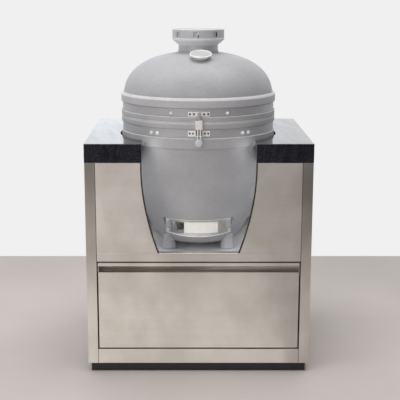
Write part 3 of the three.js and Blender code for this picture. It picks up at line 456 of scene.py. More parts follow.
def brushedSteel(name, grainAxis, facts=brushing, tone=1.0, rotation=0.25):
    mat = newMaterial(name, facts.light, 0.34, facts.metallic, {
        "Anisotropic": facts.anisotropy, "Anisotropic Rotation": rotation,
    })
    fine = [facts.along if axis == grainAxis else facts.fine for axis in "xyz"]
    broad = [facts.along / 6 if axis == grainAxis else facts.broad for axis in "xyz"]
    lines = grainOf(mat, fine, 3.0, 0.6)
    streaks = grainOf(mat, broad, 3.0, 0.6)
    clouds = grainOf(mat, facts.clouds, 4.0, 0.55)
    colour = tinted(mat, blended(mat, lines, streaks, 0.45), [
        (0.32, toned(facts.dark, tone)), (0.68, toned(facts.light, tone)),
    ])
    haze = tinted(mat, clouds, [(0.36, facts.haze), (0.62, (1, 1, 1))])
    lineShine = spread(mat, lines, *facts.roughness)
    rough = mathOf(mat, "ADD", lineShine, spread(mat, clouds, 0.0, 0.05))
    coated(mat, multiplied(mat, colour, haze), rough)
    tangent = addNode(mat, "ShaderNodeTangent", direction_type="RADIAL", axis="Z")
    feed(mat, "Tangent", tangent.outputs["Tangent"])
    raised(mat, (lines, 0.0002, 0.06), (clouds, 0.004, 0.04))
    return mat


steelAcross = brushedSteel("brushedAcross", "x")
steelUpright = brushedSteel("brushedUpright", "z", rotation=0.0)
# the inside steel is a darker copy of the same steel: painted shade inside the cabinet
shadedSteelInside = brushedSteel("brushedInsideShaded", "y", tone=0.86)
# the grill shelf's steel is painted lighter than the rest: painted light
litShelfSteel = brushedSteel("litShelfSteel", "y", litShelfBrushing)

stoneFacts = Sizes(
    ground=(0.006, 0.0065, 0.009), fleck=(0.11, 0.11, 0.14), vein=(0.028, 0.028, 0.038),
    fleckSize=300, crystalSize=210, veinSize=(26, 3.5, 9), veinTurn=14, shine=(0.28, 0.72),
    roughness=(0.05, 0.11),
)


def polishedStone(facts):
    mat = newMaterial("polishedStone", facts.ground, 0.07, 0.0, {"IOR": 1.5})
    flecks = cellsOf(mat, facts.fleckSize)
    crystals = grainOf(mat, [facts.crystalSize] * 3, 5.0, 0.75)
    veins = grainOf(mat, facts.veinSize, 6.0, 0.65, facts.veinTurn)
    base = tinted(mat, crystals, [(0.42, facts.ground), (0.58, facts.vein), (0.72, facts.fleck)])
    spots = tinted(mat, flecks, [
        (0.0, (2.1, 2.1, 2.2)), (0.22, (1, 1, 1)), (0.6, (0.7, 0.7, 0.7)),
    ])
    drift = tinted(mat, veins, [
        (0.42, (0.8, 0.8, 0.82)), (0.52, (1.25, 1.25, 1.3)), (0.6, (0.9, 0.9, 0.9)),
    ])
    colour = multiplied(mat, multiplied(mat, base, spots), drift)
    coated(mat, colour, spread(mat, crystals, *facts.roughness))
    feed(mat, "Specular IOR Level", spread(mat, veins, *facts.shine, 0.4, 0.6))
    raised(mat, (crystals, 0.00006, 0.25), (veins, 0.0004, 0.04))
    return mat


stone = polishedStone(stoneFacts)

ceramicFacts = Sizes(
    light=(0.435, 0.437, 0.456), dark=(0.38, 0.382, 0.398), pebble=310,  # bumps per metre
    skin=700, patches=(6, 6, 9), roughness=(0.46, 0.60),
)


def pebbledCeramic(name, tone=1.0, pebbleHeight=0.0009, facts=ceramicFacts):
    mat = newMaterial(name, facts.light, 0.52)
    pebbles = cellsOf(mat, facts.pebble, 0.7)
    skin = grainOf(mat, [facts.skin] * 3, 3.0, 0.6)
    patches = grainOf(mat, facts.patches, 4.0, 0.6)
    colour = tinted(mat, patches, [
        (0.34, toned(facts.dark, tone)), (0.66, toned(facts.light, tone)),
    ])
    # pebble tops painted lighter and the hollows between them darker: painted light and shade
    hollowShade = tinted(mat, pebbles, [(0.15, (1.05, 1.05, 1.05)), (0.75, (0.86, 0.86, 0.87))])
    coated(mat, multiplied(mat, colour, hollowShade), spread(mat, skin, *facts.roughness))
    height = mathOf(mat, "SUBTRACT", 1.0, pebbles)
    raised(mat, (height, pebbleHeight, 0.55), (skin, 0.0003, 0.25))
    return mat


ceramic = pebbledCeramic("pebbledCeramic")
# lighter copies of the same ceramic: painted light on the lid's ring and painted highlights on the
# ring and rim edges
litRingCeramic = pebbledCeramic("litRingCeramic", 1.16, 0.0006)
highlightCeramic = pebbledCeramic("highlightCeramic", 1.55, 0.0003)
# a lighter copy of the ceramic for the feet: painted light under the bowl
litFootCeramic = pebbledCeramic("litFootCeramic", 1.25, 0.0004)


def roughGround(name, light, dark, grainSize, height, roughness, metallic=0.0):
    # a matt surface with grain at one size and patches at a larger one
    mat = newMaterial(name, light, roughness[0], metallic)
    fine = grainOf(mat, [grainSize] * 3, 4.0, 0.65)
    patches = grainOf(mat, [grainSize / 24] * 3, 3.0, 0.6)
    colour = tinted(mat, blended(mat, fine, patches, 0.5), [(0.36, dark), (0.64, light)])
    coated(mat, colour, spread(mat, fine, *roughness))
    raised(mat, (fine, height, 0.4))
    return mat


def brightMetal(name, light, dark, lines, roughness, metallic=1.0):
    # polished metal with hairline scratches
    mat = newMaterial(name, light, roughness[0], metallic)
    scratches = grainOf(mat, lines, 4.0, 0.7)
    smears = grainOf(mat, (34, 34, 34), 3.0, 0.6)
    colour = tinted(mat, smears, [(0.35, dark), (0.65, light)])
    scratchShine = spread(mat, scratches, *roughness)
    rough = mathOf(mat, "ADD", scratchShine, spread(mat, smears, 0.0, 0.04))
    coated(mat, colour, rough)
    raised(mat, (scratches, 0.00006, 0.1), (smears, 0.0012, 0.08))
    return mat


# light, dark, grain per metre, its height, roughness, and how metallic
grounds = {
    "fireClay": ((0.50, 0.465, 0.43), (0.38, 0.35, 0.32), 320, 0.0008, (0.85, 0.95)),
    "castIron": ((0.055, 0.053, 0.052), (0.022, 0.021, 0.021), 700, 0.0004, (0.5, 0.72), 0.5),
    "paleFelt": ((0.66, 0.66, 0.67), (0.54, 0.54, 0.55), 1500, 0.0006, (0.9, 1.0)),
    "bandPaint": ((0.45, 0.45, 0.47), (0.40, 0.40, 0.415), 900, 0.00012, (0.36, 0.46), 0.2),
    "ventPaint": ((0.52, 0.525, 0.545), (0.44, 0.445, 0.46), 800, 0.0003, (0.45, 0.6), 0.05),
    # a lighter copy of the vent paint: painted light on the flare and a painted highlight on the
    # cap's lower rim
    "ventEdge": ((0.82, 0.825, 0.84), (0.74, 0.745, 0.76), 800, 0.0003, (0.45, 0.6)),
    "blackPaint": ((0.014, 0.014, 0.014), (0.008, 0.008, 0.008), 600, 0.0001, (0.5, 0.65)),
    "edgeRubber": ((0.02, 0.02, 0.021), (0.011, 0.011, 0.012), 900, 0.0001, (0.6, 0.75)),
    "knobPlastic": ((0.58, 0.60, 0.64), (0.52, 0.54, 0.58), 500, 0.00008, (0.22, 0.3)),
    "unglazedInside": ((0.42, 0.39, 0.36), (0.30, 0.28, 0.26), 260, 0.0006, (0.8, 0.92)),
    "dialFace": ((0.05, 0.052, 0.056), (0.034, 0.036, 0.04), 700, 0.00005, (0.4, 0.55)),
    "dialMarks": ((0.82, 0.82, 0.8), (0.7, 0.7, 0.68), 900, 0.00004, (0.5, 0.6)),
}
# light, dark, scratches per metre along X, Y and Z, roughness, and how metallic
metals = {
    "brightSteel": ((0.86, 0.84, 0.81), (0.74, 0.72, 0.70), (60, 60, 1900), (0.10, 0.2)),
    "frameSteel": ((0.66, 0.65, 0.64), (0.5, 0.49, 0.48), (50, 50, 700), (0.28, 0.4), 0.85),
    # pale and only partly metallic: painted sheen standing in for the chrome's bright reflection
    # on the thermometer, latch, nuts and screws
    "satinSteel": ((0.93, 0.92, 0.9), (0.82, 0.81, 0.79), (60, 60, 1200), (0.3, 0.4), 0.35),
    # near white and hardly metallic: painted sheen standing in for the chrome's bright reflection
    # on the draft door, frame beads and latch rods
    "doorSteel": ((1.0, 0.99, 0.97), (0.92, 0.91, 0.89), (40, 40, 1500), (0.3, 0.38), 0.05),
    "rodSteel": ((0.62, 0.61, 0.60), (0.50, 0.49, 0.48), (900, 900, 60), (0.22, 0.34)),
    "runnerZinc": ((0.60, 0.62, 0.65), (0.48, 0.5, 0.53), (500, 12, 500), (0.28, 0.42)),
}
paints = Sizes({name: roughGround(name, *facts) for name, facts in grounds.items()})
paints.update({name: brightMetal(name, *facts) for name, facts in metals.items()})


def whiteVeilGlass():
    # a white veil at part opacity: painted reflection on the dial's glass
    mat = newMaterial("dialGlass", (0.97, 0.98, 0.99), 0.03, 0.0, {"IOR": 1.45, "Alpha": 0.34})
    smears = grainOf(mat, (90, 90, 90), 3.0)
    feed(mat, "Roughness", spread(mat, smears, 0.02, 0.07))
    return mat


glass = whiteVeilGlass()
print("materials made")


# CAD nodes that keep their shape, with folded or eased edges
def dress(mat, fold, *names, segments=2, merge=0.00002, angle=40):
    for name in names:
        node = cadNodes[name]
        node.material_slots[0].material = mat
        weld = node.modifiers.new("weld", "WELD")
        weld.merge_threshold = merge
        edge = node.modifiers.new("fold", "BEVEL")
        edge.width = fold
        edge.segments = segments
        edge.limit_method = "ANGLE"
        edge.angle_limit = radians(angle)
        edge.harden_normals = False


runners = [name for name in cadNodes if name.startswith("runner_")]
dress(steelAcross, 0.0008, "front_panel_left", "front_panel_right", "back_panel")
dress(steelAcross, 0.0016, "mid_rail", "bottom_rail", "drawer_front", segments=3)
dress(steelUpright, 0.0009, "side_panel_left", "side_panel_right")
dress(shadedSteelInside, 0.0005, "side_liner_left", "side_liner_right")
dress(shadedSteelInside, 0.0005, "shelf_beam_left", "shelf_beam_right")
dress(litShelfSteel, 0.0009, "grill_shelf")
dress(shadedSteelInside, 0.0003, "cabinet_floor", "drawer_inner_front", "drawer_back")
dress(shadedSteelInside, 0.0003, "drawer_bottom", "drawer_side_left", "drawer_side_right")
dress(paints.runnerZinc, 0.0003, *runners)
# the plinth is black, and its black also stands in for the shadow under the cabinet: painted
# shadow
dress(paints.blackPaint, 0.001, "plinth")
dress(paints.castIron, 0.0012, "charcoal_grate")
dress(paints.brightSteel, 0.0006, "hinge_base_bracket", segments=1, merge=0.0001)
dress(paints.brightSteel, 0.0006, "hinge_lid_bracket")
dress(paints.rodSteel, 0.0005, "latch_pawl", "hinge_pin")
print("cabinet dressed")

# Black rubber strips in the gaps round the drawer and in the joints beside the posts: painted
# shade in the gaps
shadeStripSize = Sizes(
    ys=(-0.3662, -0.345), half=0.3903, openingZ=(0.0922, 0.4448), thick=0.0031,
    atRunner=0.0012, lap=0.0004, runnerZ=(0.1575, 0.2025), jointHalf=0.0009,
    jointYs=(-0.3704, -0.3695), jointZ=(0.036, 0.8275),
)


def makeShadeStrips(strip):
    half, thick = strip.half, strip.thick
    low, high = strip.openingZ
    below, above = strip.runnerZ
    shapes = [
        boxFaces((-half, half), strip.ys, (high - thick, high)),
        boxFaces((-half, half), strip.ys, (low, low + thick)),
    ]
    joints = []
    for side in (-1, 1):
        # thinner beside the runners, which slide past
        for deep, bottom, top in (
            (thick, low + thick, below),
            (strip.atRunner, below, above),
            (thick, above, high - thick),
        ):
            xs = sorted((side * half, side * (half - deep)))
            shapes.append(boxFaces(xs, strip.ys, (bottom - strip.lap, top + strip.lap)))
        xs = (side * half - strip.jointHalf, side * half + strip.jointHalf)
        joints.append(boxFaces(xs, strip.jointYs, strip.jointZ))
    for name, parts in (("drawerGapShadeStrips", shapes), ("postJointShadeStrips", joints)):
        build(name, joined(*parts), paints.edgeRubber, on="mid_rail")


makeShadeStrips(shadeStripSize)

# Drawer handle, its lip rolled in over the scoop
handleSize = Sizes(
    front=-0.37, depth=0.03, top=0.44, bottom=0.401, lip=0.424, roll=0.009, sheet=0.002,
    half=0.386, ease=0.0006,
)


def makeHandle(handle):
    front, top, sheet, half = handle.front, handle.top, handle.sheet, handle.half
    scoopR = handle.depth - sheet
    scoopMiddle = (front, handle.bottom + handle.depth)
    rollMiddle = (front + handle.roll, handle.lip + handle.roll)
    scoopBack = arcPoints(scoopMiddle, handle.depth, -90, 0, 20)
    outline = [(front, top)]
    outline += arcPoints(rollMiddle, handle.roll, 180, 270, 10)
    outline += arcPoints(rollMiddle, handle.roll - sheet, 270, 180, 10)
    outline += [(front + sheet, top - sheet), (front + scoopR, top - sheet)]
    outline += arcPoints(scoopMiddle, scoopR, 0, -90, 20)
    outline += scoopBack + [(front + handle.depth, top)]
    end = [(front + handle.depth, top), (front, top)] + scoopBack
    ends = [prismFaces(end, *xs, "x") for xs in ((-half, sheet - half), (half - sheet, half))]
    shape = prismFaces(outline, -half, half, "x")
    build("drawerHandle", shape, steelAcross, "drawer_handle", add=ends, ease=(handle.ease, 2, 50))


makeHandle(handleSize)

# Worktop
stoneSize = Sizes(
    halfWidth=0.431, front=-0.371, back=0.371, bottom=0.828, top=0.9, slotHalf=0.2155,
    cutRadius=0.312, arris=0.0022, corner=0.003, arcSteps=96,
)


def makeWorktop(size):
    slotTurn = degrees(asin(size.slotHalf / size.cutRadius))
    wide, slot, corner = size.halfWidth, size.slotHalf, size.corner
    outline = [(-wide, size.front, corner), (-slot, size.front, corner)]
    for k in range(size.arcSteps + 1):
        around = -slotTurn - (360 - 2 * slotTurn) * k / size.arcSteps
        outline.append(pointAround(size.cutRadius, around, 0)[:2])
    outline += [(slot, size.front, corner), (wide, size.front, corner)]
    outline += [(wide, size.back, corner), (-wide, size.back, corner)]
    shape = prismFaces(softened(outline), size.bottom, size.top)
    build("stoneTop", shape, stone, "worktop", ease=(size.arris, 3, 50))


makeWorktop(stoneSize)
print("worktop made")

# Rubber trim on the curved edges of the front panels
trimSize = Sizes(
    top=0.8277, bottom=0.4793, topHalf=0.217, topSwell=0.2195, topPull=0.12,
    bottomHalf=0.153, bottomSwell=0.1935, bottomPull=0.11, steps=48, lap=0.0036, lapEdge=0.0002,
    wall=0.0014, wallEdge=0.0003, gap=0.00005, face=-0.3707, panelFace=-0.37005, depth=0.011,
)


def makeTrim(size, side, name):
    face, back = size.face, size.face + size.depth
    section = [
        (size.lap, size.panelFace), (size.lap, face + size.lapEdge),
        (size.lap - size.lapEdge, face), (-size.wall + size.wallEdge, face),
        (-size.wall, face + size.wallEdge), (-size.wall, back),
        (-size.gap, back), (-size.gap, size.panelFace),
    ]
    p0 = Vector((side * size.topHalf, size.top))
    p1 = Vector((side * size.topSwell, size.top - size.topPull))
    p2 = Vector((side * size.bottomSwell, size.bottom + size.bottomPull))
    p3 = Vector((side * size.bottomHalf, size.bottom))
    path = []
    for k in range(size.steps + 1):
        t = k / size.steps
        s = 1 - t
        path.append(p0 * s ** 3 + p1 * 3 * s * s * t + p2 * 3 * s * t * t + p3 * t ** 3)
    rings = []
    for i, here in enumerate(path):
        along = (path[min(i + 1, size.steps)] - path[max(i - 1, 0)]).normalized()
        outward = side * Vector((-along.y, along.x))
        spots = [(here + outward * offset, depth) for offset, depth in section]
        rings.append([(spot.x, depth, spot.y) for spot, depth in spots])
    build(name, skinned(rings), paints.edgeRubber, on="front_panel_left")


makeTrim(trimSize, -1, "edgeTrimLeft")
makeTrim(trimSize, 1, "edgeTrimRight")

# Grill base
baseSize = Sizes(
    bottom=0.474, height=0.402, radius=0.296, wall=0.026,
    heightShares=(0, 0.012, 0.05, 0.12, 0.24, 0.42, 0.62, 0.82, 1),
    radiusShares=(0.47, 0.52, 0.58, 0.64, 0.718, 0.815, 0.898, 0.96, 1),
    ringRadius=0.3055, ringTop=0.9185, ringEdges=(0.004, 0.0045), bandTop=0.9525,
    bandSeat=0.298, rimRadius=0.306, rimTop=0.9715, rimEdge=0.0025, bend=0.002, throat=0.02,
    ashRadius=0.07, steps=144,
)
draftSize = Sizes(
    radius=0.208, wall=0.008, half=0.129, top=0.583, lowest=0.514, cornerRise=0.013,
    over=0.01, ease=0.0011, margin=0.003, seatInner=0.16, seatTurns=(-39.6, 39.6), gap=0.0003,
    windowTurns=(-31, 22), windowZ=(0.529, 0.573), groove=(-32.2, 38.0), doorLap=0.0022,
    doorInner=0.203, doorOuter=0.205, doorTurns=(-16, 37.5), doorEase=0.0005,
    tabTurns=(20, 21), tabInner=0.204, tabOuter=0.212, tabZ=(0.54, 0.562), beadRadius=0.0016,
    beadShare=0.985,
)


def bowlCurve(size, inward=0.0, drop=0.0):
    low, high = size.bottom + drop, size.height - drop
    shares = zip(size.heightShares, size.radiusShares)
    return flowing([(size.radius * wide - inward, low + share * high) for share, wide in shares])


def windowFaces(draft, innerR, outerR, steps):
    return sectorFaces(innerR, outerR, *draft.windowTurns, *draft.windowZ, steps)


def makeBase(size, draft):
    outer = bowlCurve(size)
    inner = bowlCurve(size, size.wall, size.wall)
    shoulder, throatR = size.bottom + size.height, size.radius - size.wall
    loop = [(0.0, size.bottom)] + outer[:-1]
    loop += softened([
        outer[-2],
        (size.radius, shoulder, size.bend),
        (size.ringRadius, shoulder, size.ringEdges[0]),
        (size.ringRadius, size.ringTop, size.ringEdges[1]),
        (size.bandSeat, size.ringTop),
        (size.bandSeat, size.bandTop),
        (size.rimRadius, size.bandTop, size.rimEdge),
        (size.rimRadius, size.rimTop, size.rimEdge),
        (throatR, size.rimTop, size.bend),
        (throatR, size.rimTop - size.throat),
    ])[1:]
    middle = (0.0, size.bottom + size.wall)
    loop += inner[::-1] + [middle]
    piece = blank("grillBase", turnedFaces(loop, size.steps))
    seatR = draft.radius - draft.wall - draft.gap
    seat = (*draft.seatTurns, draft.lowest - draft.margin, draft.top + draft.margin)
    combine(piece, "DIFFERENCE", sectorFaces(seatR, size.radius, *seat, 48))
    filler = blank("filler", sectorFaces(draft.seatInner, seatR, *seat, 48))
    hollow = [middle] + inner + [(0.0, inner[-1][1])]
    combine(filler, "DIFFERENCE", turnedFaces(hollow, size.steps))
    combine(piece, "UNION", filler)
    combine(piece, "DIFFERENCE", windowFaces(draft, size.ashRadius, size.radius, 40))
    return place(piece, ceramic, "base_shell")


grillBase = makeBase(baseSize, draftSize)
print("grill base made")


# Draft frame and its sliding door
def makeDraft(draft):
    inner, outer, half, top = draft.radius - draft.wall, draft.radius, draft.half, draft.top
    reach = degrees(asin(half / outer))
    corner, dip = draft.lowest + draft.cornerRise, draft.lowest - draft.cornerRise
    bottom = []
    for k in range(33):
        t = k / 32
        height = (1 - t) ** 2 * corner + 2 * t * (1 - t) * dip + t * t * corner
        bottom.append((half * (2 * t - 1), height))
    outline = bottom + [(half, top + draft.over), (-half, top + draft.over)]
    kept = prismFaces(outline, grillY - 0.3, grillY, "y")
    low, high = draft.windowZ[0] - draft.doorLap, draft.windowZ[1] + draft.doorLap
    groove = sectorFaces(
        draft.doorInner - draft.gap, draft.doorOuter + draft.gap, *draft.groove,
        low - draft.gap, high + draft.gap, 48,
    )
    window = windowFaces(draft, inner - draft.over / 2, outer + draft.over / 2, 48)
    shape = sectorFaces(inner, outer, -reach, reach, draft.lowest, top, 64)
    build("draftFrame", shape, paints.frameSteel, "draft_frame", keep=[kept],
          cut=[groove, window], ease=(draft.ease, 3))
    rolled = []
    bead = draft.beadRadius
    for edge, inward in ((bottom, bead), ([(-half, top), (half, top)], -bead)):
        path = []
        for k in range(41):
            share = k / 40 * (len(edge) - 1)
            first = min(int(share), len(edge) - 2)
            here = Vector(edge[first]).lerp(Vector(edge[first + 1]), share - first)
            turn = asin(here.x / outer) * draft.beadShare
            path.append(pointAround(outer, degrees(turn), here.y + inward))
        rolled.append(tubeFaces(path, bead))
    steel = paints.doorSteel
    build("draftFrameEdges", joined(*rolled), steel, on="draft_frame", slot="bright_steel")
    door = sectorFaces(draft.doorInner, draft.doorOuter, *draft.doorTurns, low, high, 48)
    tab = sectorFaces(draft.tabInner, draft.tabOuter, *draft.tabTurns, *draft.tabZ, 4)
    build("draftDoor", door, steel, "draft_door", add=[tab], ease=(draft.doorEase,))


makeDraft(draftSize)

# Bands and gaskets with rolled edges: inner and outer radius, low, high, edge, material
ringSizes = {
    "lower_band": ("lowerBand", 0.2983, 0.3013, 0.9188, 0.9522, 0.0014, paints.bandPaint),
    "upper_band": ("upperBand", 0.2983, 0.3013, 0.9988, 1.0292, 0.0014, paints.bandPaint),
    "lower_gasket": ("lowerGasket", 0.279, 0.306, 0.9715, 0.97535, 0.0017, paints.paleFelt),
    "upper_gasket": ("upperGasket", 0.279, 0.306, 0.97565, 0.9795, 0.0017, paints.paleFelt),
}
for node, (name, inner, outer, low, high, edge, mat) in ringSizes.items():
    loop = softened([(inner, low), (outer, low, edge), (outer, high, edge), (inner, high)], 4)
    build(name, turnedFaces(loop, 144), mat, node)
print("bands and gaskets made")

# Feet, hollowed on top to the bowl's curve
footSize = Sizes(
    offset=0.117, bottom=0.447, top=0.507, bottomRadius=0.029, topRadius=0.021, edge=0.006,
    gap=0.0003,
)


def makeFeet(foot, size):
    bowl = bowlCurve(size, -foot.gap)
    outside = [(0.0, size.bottom - foot.gap)]
    outside += [(radius, height - foot.gap) for radius, height in bowl] + [(0.0, bowl[-1][1])]
    loop = softened([
        (0.0, foot.bottom), (foot.bottomRadius, foot.bottom, foot.edge),
        (foot.topRadius, foot.top, foot.edge), (0.0, foot.top),
    ])
    for i, (sideX, sideY) in enumerate(((-1, -1), (1, -1), (-1, 1), (1, 1)), 1):
        centre = (sideX * foot.offset, grillY + sideY * foot.offset)
        shape = turnedFaces(loop, 48, centre)
        bowlTool = turnedFaces(outside, 96)
        build(f"grillFoot{i}", shape, litFootCeramic, f"grill_foot_{i}", cut=[bowlTool])


makeFeet(footSize, baseSize)

# Fire box and fire ring
fireSize = Sizes(
    floor=0.5003, middle=0.6103, top=0.8008, floorRadius=0.1130, middleRadius=0.1940,
    topRadius=0.2546, wall=0.02, edge=0.003, middleBends=(0.04, 0.03), ledge=0.5623,
    ledgeRadius=0.118, ashRadius=0.07, ashFloor=0.5203, window=(-30, 30, 0.5243, 0.5563),
    ringZ=(0.8011, 0.9331),
)


def makeFireBox(fire):
    edge, outer, inner = fire.edge, fire.topRadius, fire.topRadius - fire.wall
    loop = softened([
        (0.0, fire.floor),
        (fire.floorRadius, fire.floor, edge),
        (fire.middleRadius, fire.middle, fire.middleBends[0]),
        (outer, fire.top, edge),
        (inner, fire.top, edge),
        (fire.middleRadius - fire.wall, fire.middle, fire.middleBends[1]),
        (fire.ledgeRadius, fire.ledge, edge),
        (fire.ashRadius, fire.ledge, edge),
        (fire.ashRadius, fire.ashFloor, edge),
        (0.0, fire.ashFloor),
    ], 6)
    window = sectorFaces(fire.ashRadius / 2, outer, *fire.window, 32)
    build("fireBox", turnedFaces(loop, 100), paints.fireClay, "fire_box", cut=[window])
    low, high = fire.ringZ
    loop = softened([
        (inner, low, edge), (outer, low, edge), (outer, high, edge), (inner, high, edge),
    ])
    build("fireRing", turnedFaces(loop, 112), paints.fireClay, "fire_ring")


makeFireBox(fireSize)

# Cooking grate of round rods welded into a rim
grateSize = Sizes(
    radius=0.262, level=0.9374, rimRod=0.0039, barRod=0.003, bars=13, crossRod=0.0024,
    crossLevel=0.936, crossAt=(-0.12, 0.12),
)


def makeCookingGrate(grate):
    rimR = grate.radius - grate.rimRod
    rim = [pointAround(rimR, 360 * k / 96, grate.level) for k in range(96)]
    parts = [tubeFaces(rim, grate.rimRod, 12, True)]
    pitch = 2 * grate.radius / (grate.bars + 1)
    for i in range(grate.bars):
        x = (i - (grate.bars - 1) / 2) * pitch
        reach = sqrt(rimR ** 2 - x ** 2)
        ends = [(x, grillY - reach, grate.level), (x, grillY + reach, grate.level)]
        parts.append(tubeFaces(ends, grate.barRod, 12))
    for offset in grate.crossAt:
        reach, y = sqrt(rimR ** 2 - offset ** 2), grillY + offset
        ends = [(-reach, y, grate.crossLevel), (reach, y, grate.crossLevel)]
        parts.append(tubeFaces(ends, grate.crossRod))
    build("cookingGrate", joined(*parts), paints.rodSteel, "cooking_grate")


makeCookingGrate(grateSize)
print("feet, fire box and grates made")

# Lid
lidSize = Sizes(
    bottom=0.9795, rimRadius=0.306, rimEdge=0.0025, bandBottom=0.9985, bandSeat=0.298,
    ringBottom=1.0295, ringRadius=0.3075, ringTop=1.067, ringEdge=0.005, chamferIn=0.0046,
    chamferDrop=0.0092, middle=1.042, radius=0.297, rise=0.181, power=2.4, crownRadius=0.081,
    crownRise=0.004, crownEdge=0.002, chimney=0.058, wall=0.026, innerRadius=0.27, steps=144,
)
dialSize = Sizes(
    side=0.008, before=0.156, tilt=16, lift=0.0006, bottomRadius=0.03, radius=0.043,
    flank=0.013, height=0.019, bore=0.038, floor=0.0108, faceRadius=0.0374, face=0.0005,
    glassLow=0.0155, glassHigh=0.0175, glassRadius=0.0377, stemRadius=0.0035,
    stemLength=0.06, stemHole=0.0045, holeTop=0.02,
)


def domeHeight(lid, radius, spreadTo, rise):
    power = lid.power
    return lid.middle + rise * max(0.0, 1 - (radius / spreadTo) ** power) ** (1 / power)


def domeCurve(lid, spreadTo, rise, endRadius, lowest, steps=34):
    points = []
    for i in range(steps + 1):
        angle = i / steps * pi / 2
        radius = spreadTo * cos(angle) ** (2 / lid.power) if i < steps else 0.0
        height = lid.middle + rise * sin(angle) ** (2 / lid.power)
        if radius > endRadius + 0.002 and height > lowest:
            points.append((radius, height))
    return points + [(endRadius, domeHeight(lid, endRadius, spreadTo, rise))]


def dialMatrix(lid, dial):
    height = domeHeight(lid, hypot(dial.before, dial.side), lid.radius, lid.rise) + dial.lift
    spot = Matrix.Translation((dial.side, grillY - dial.before, height))
    return spot @ Matrix.Rotation(radians(dial.tilt), 4, "X")


onDial = dialMatrix(lidSize, dialSize)


def makeLid(lid, dial):
    crown = domeHeight(lid, lid.crownRadius, lid.radius, lid.rise) + lid.crownRise
    dome = domeCurve(lid, lid.radius, lid.rise, lid.crownRadius, lid.ringTop)
    inside = domeCurve(lid, lid.innerRadius, lid.rise - lid.wall, lid.chimney, 0.0)
    loop = softened([
        (lid.innerRadius, lid.bottom, 0.002),
        (lid.rimRadius, lid.bottom, lid.rimEdge),
        (lid.rimRadius, lid.bandBottom, lid.rimEdge),
        (lid.bandSeat, lid.bandBottom),
        (lid.bandSeat, lid.ringBottom),
        (lid.ringRadius, lid.ringBottom, lid.ringEdge),
        (lid.ringRadius, lid.ringTop - lid.chamferDrop, lid.ringEdge),
        (lid.ringRadius - lid.chamferIn, lid.ringTop, 0.004),
        (dome[0][0] + 0.0006, lid.ringTop, 0.001),
        dome[0],
        (lid.innerRadius, lid.bottom + 0.02),
    ])[:-1]
    loop += dome[1:]
    loop += [(lid.crownRadius - 0.0006, crown - 0.0012), (lid.crownRadius - lid.crownEdge, crown)]
    loop += [(lid.chimney, crown)] + inside[::-1]
    stem = moved(postFaces(dial.stemHole, 0, 0, -dial.stemLength, dial.holeTop), onDial)
    return build("grillLid", turnedFaces(loop, lid.steps), ceramic, "lid_shell", cut=[stem])


grillLid = makeLid(lidSize, dialSize)

# Where the ceramic has another finish: unglazed inside; and where lighter copies of it paint light
# on the ring and highlights on the edges
finishZones = Sizes(
    inside=0.2705, inward=-0.3, lidInside=1.0, under=-0.2, baseInside=0.49, level=0.5,
    floorTop=0.53, floorRadius=0.16, ring=0.2945, ringZ=(1.029, 1.068), edge=0.2985,
    chamfer=0.2995, chamferLow=1.0565, lidEdge=(-0.003, 0.0005), lidUp=0.15,
    baseEdges=((0.913, 0.919), (0.968, 0.972)), baseUp=0.2,
)


def paintCeramics(base, lid, size, zone):
    ringLow, ringHigh = zone.ringZ
    paintWhere(lid, paints.unglazedInside, lambda r, z, out, up: (
        r < zone.inside and (out < zone.inward or (up < zone.under and z > zone.lidInside))
    ))
    # the ring painted lighter, and its chamfer and the rim and ring edges painted as highlights
    paintWhere(lid, litRingCeramic, lambda r, z, out, up: r > zone.ring and ringLow < z < ringHigh)
    paintWhere(lid, highlightCeramic, lambda r, z, out, up: (
        r > zone.chamfer and zone.chamferLow < z < ringHigh and up > zone.lidUp
    ))
    paintWhere(lid, highlightCeramic, lambda r, z, out, up: (
        r > zone.edge and up > zone.lidUp
        and zone.lidEdge[0] < z - size.bandBottom < zone.lidEdge[1]
    ))
    paintWhere(base, highlightCeramic, lambda r, z, out, up: (
        r > zone.edge and up > zone.baseUp and any(a < z < b for a, b in zone.baseEdges)
    ))
    paintWhere(base, paints.unglazedInside, lambda r, z, out, up: (
        z > zone.baseInside and r < zone.inside and (
            out < zone.inward or (up > zone.level and z < zone.floorTop and r < zone.floorRadius)
        )
    ))


paintCeramics(grillBase, grillLid, lidSize, finishZones)
print("lid made")

# Thermometer: flared case, dial with plain marks, needle and domed glass
markFacts = Sizes(
    count=25, turns=(-135, 135), needleTurn=-112, outer=0.0335, height=0.0002,
    long=(0.006, 0.0007), short=(0.0035, 0.0004),  # lengths and half widths
    needle=[(-0.0012, -0.006), (0.0012, -0.006), (0.0003, 0.027), (-0.0003, 0.027)],
    needleZ=(0.0018, 0.0024), hub=((0, 0), (0.0026, 0), (0.0026, 0.003), (0, 0.0034)),
)


def dialFaces(loop, steps):
    return moved(turnedFaces(loop, steps, (0, 0)), onDial)


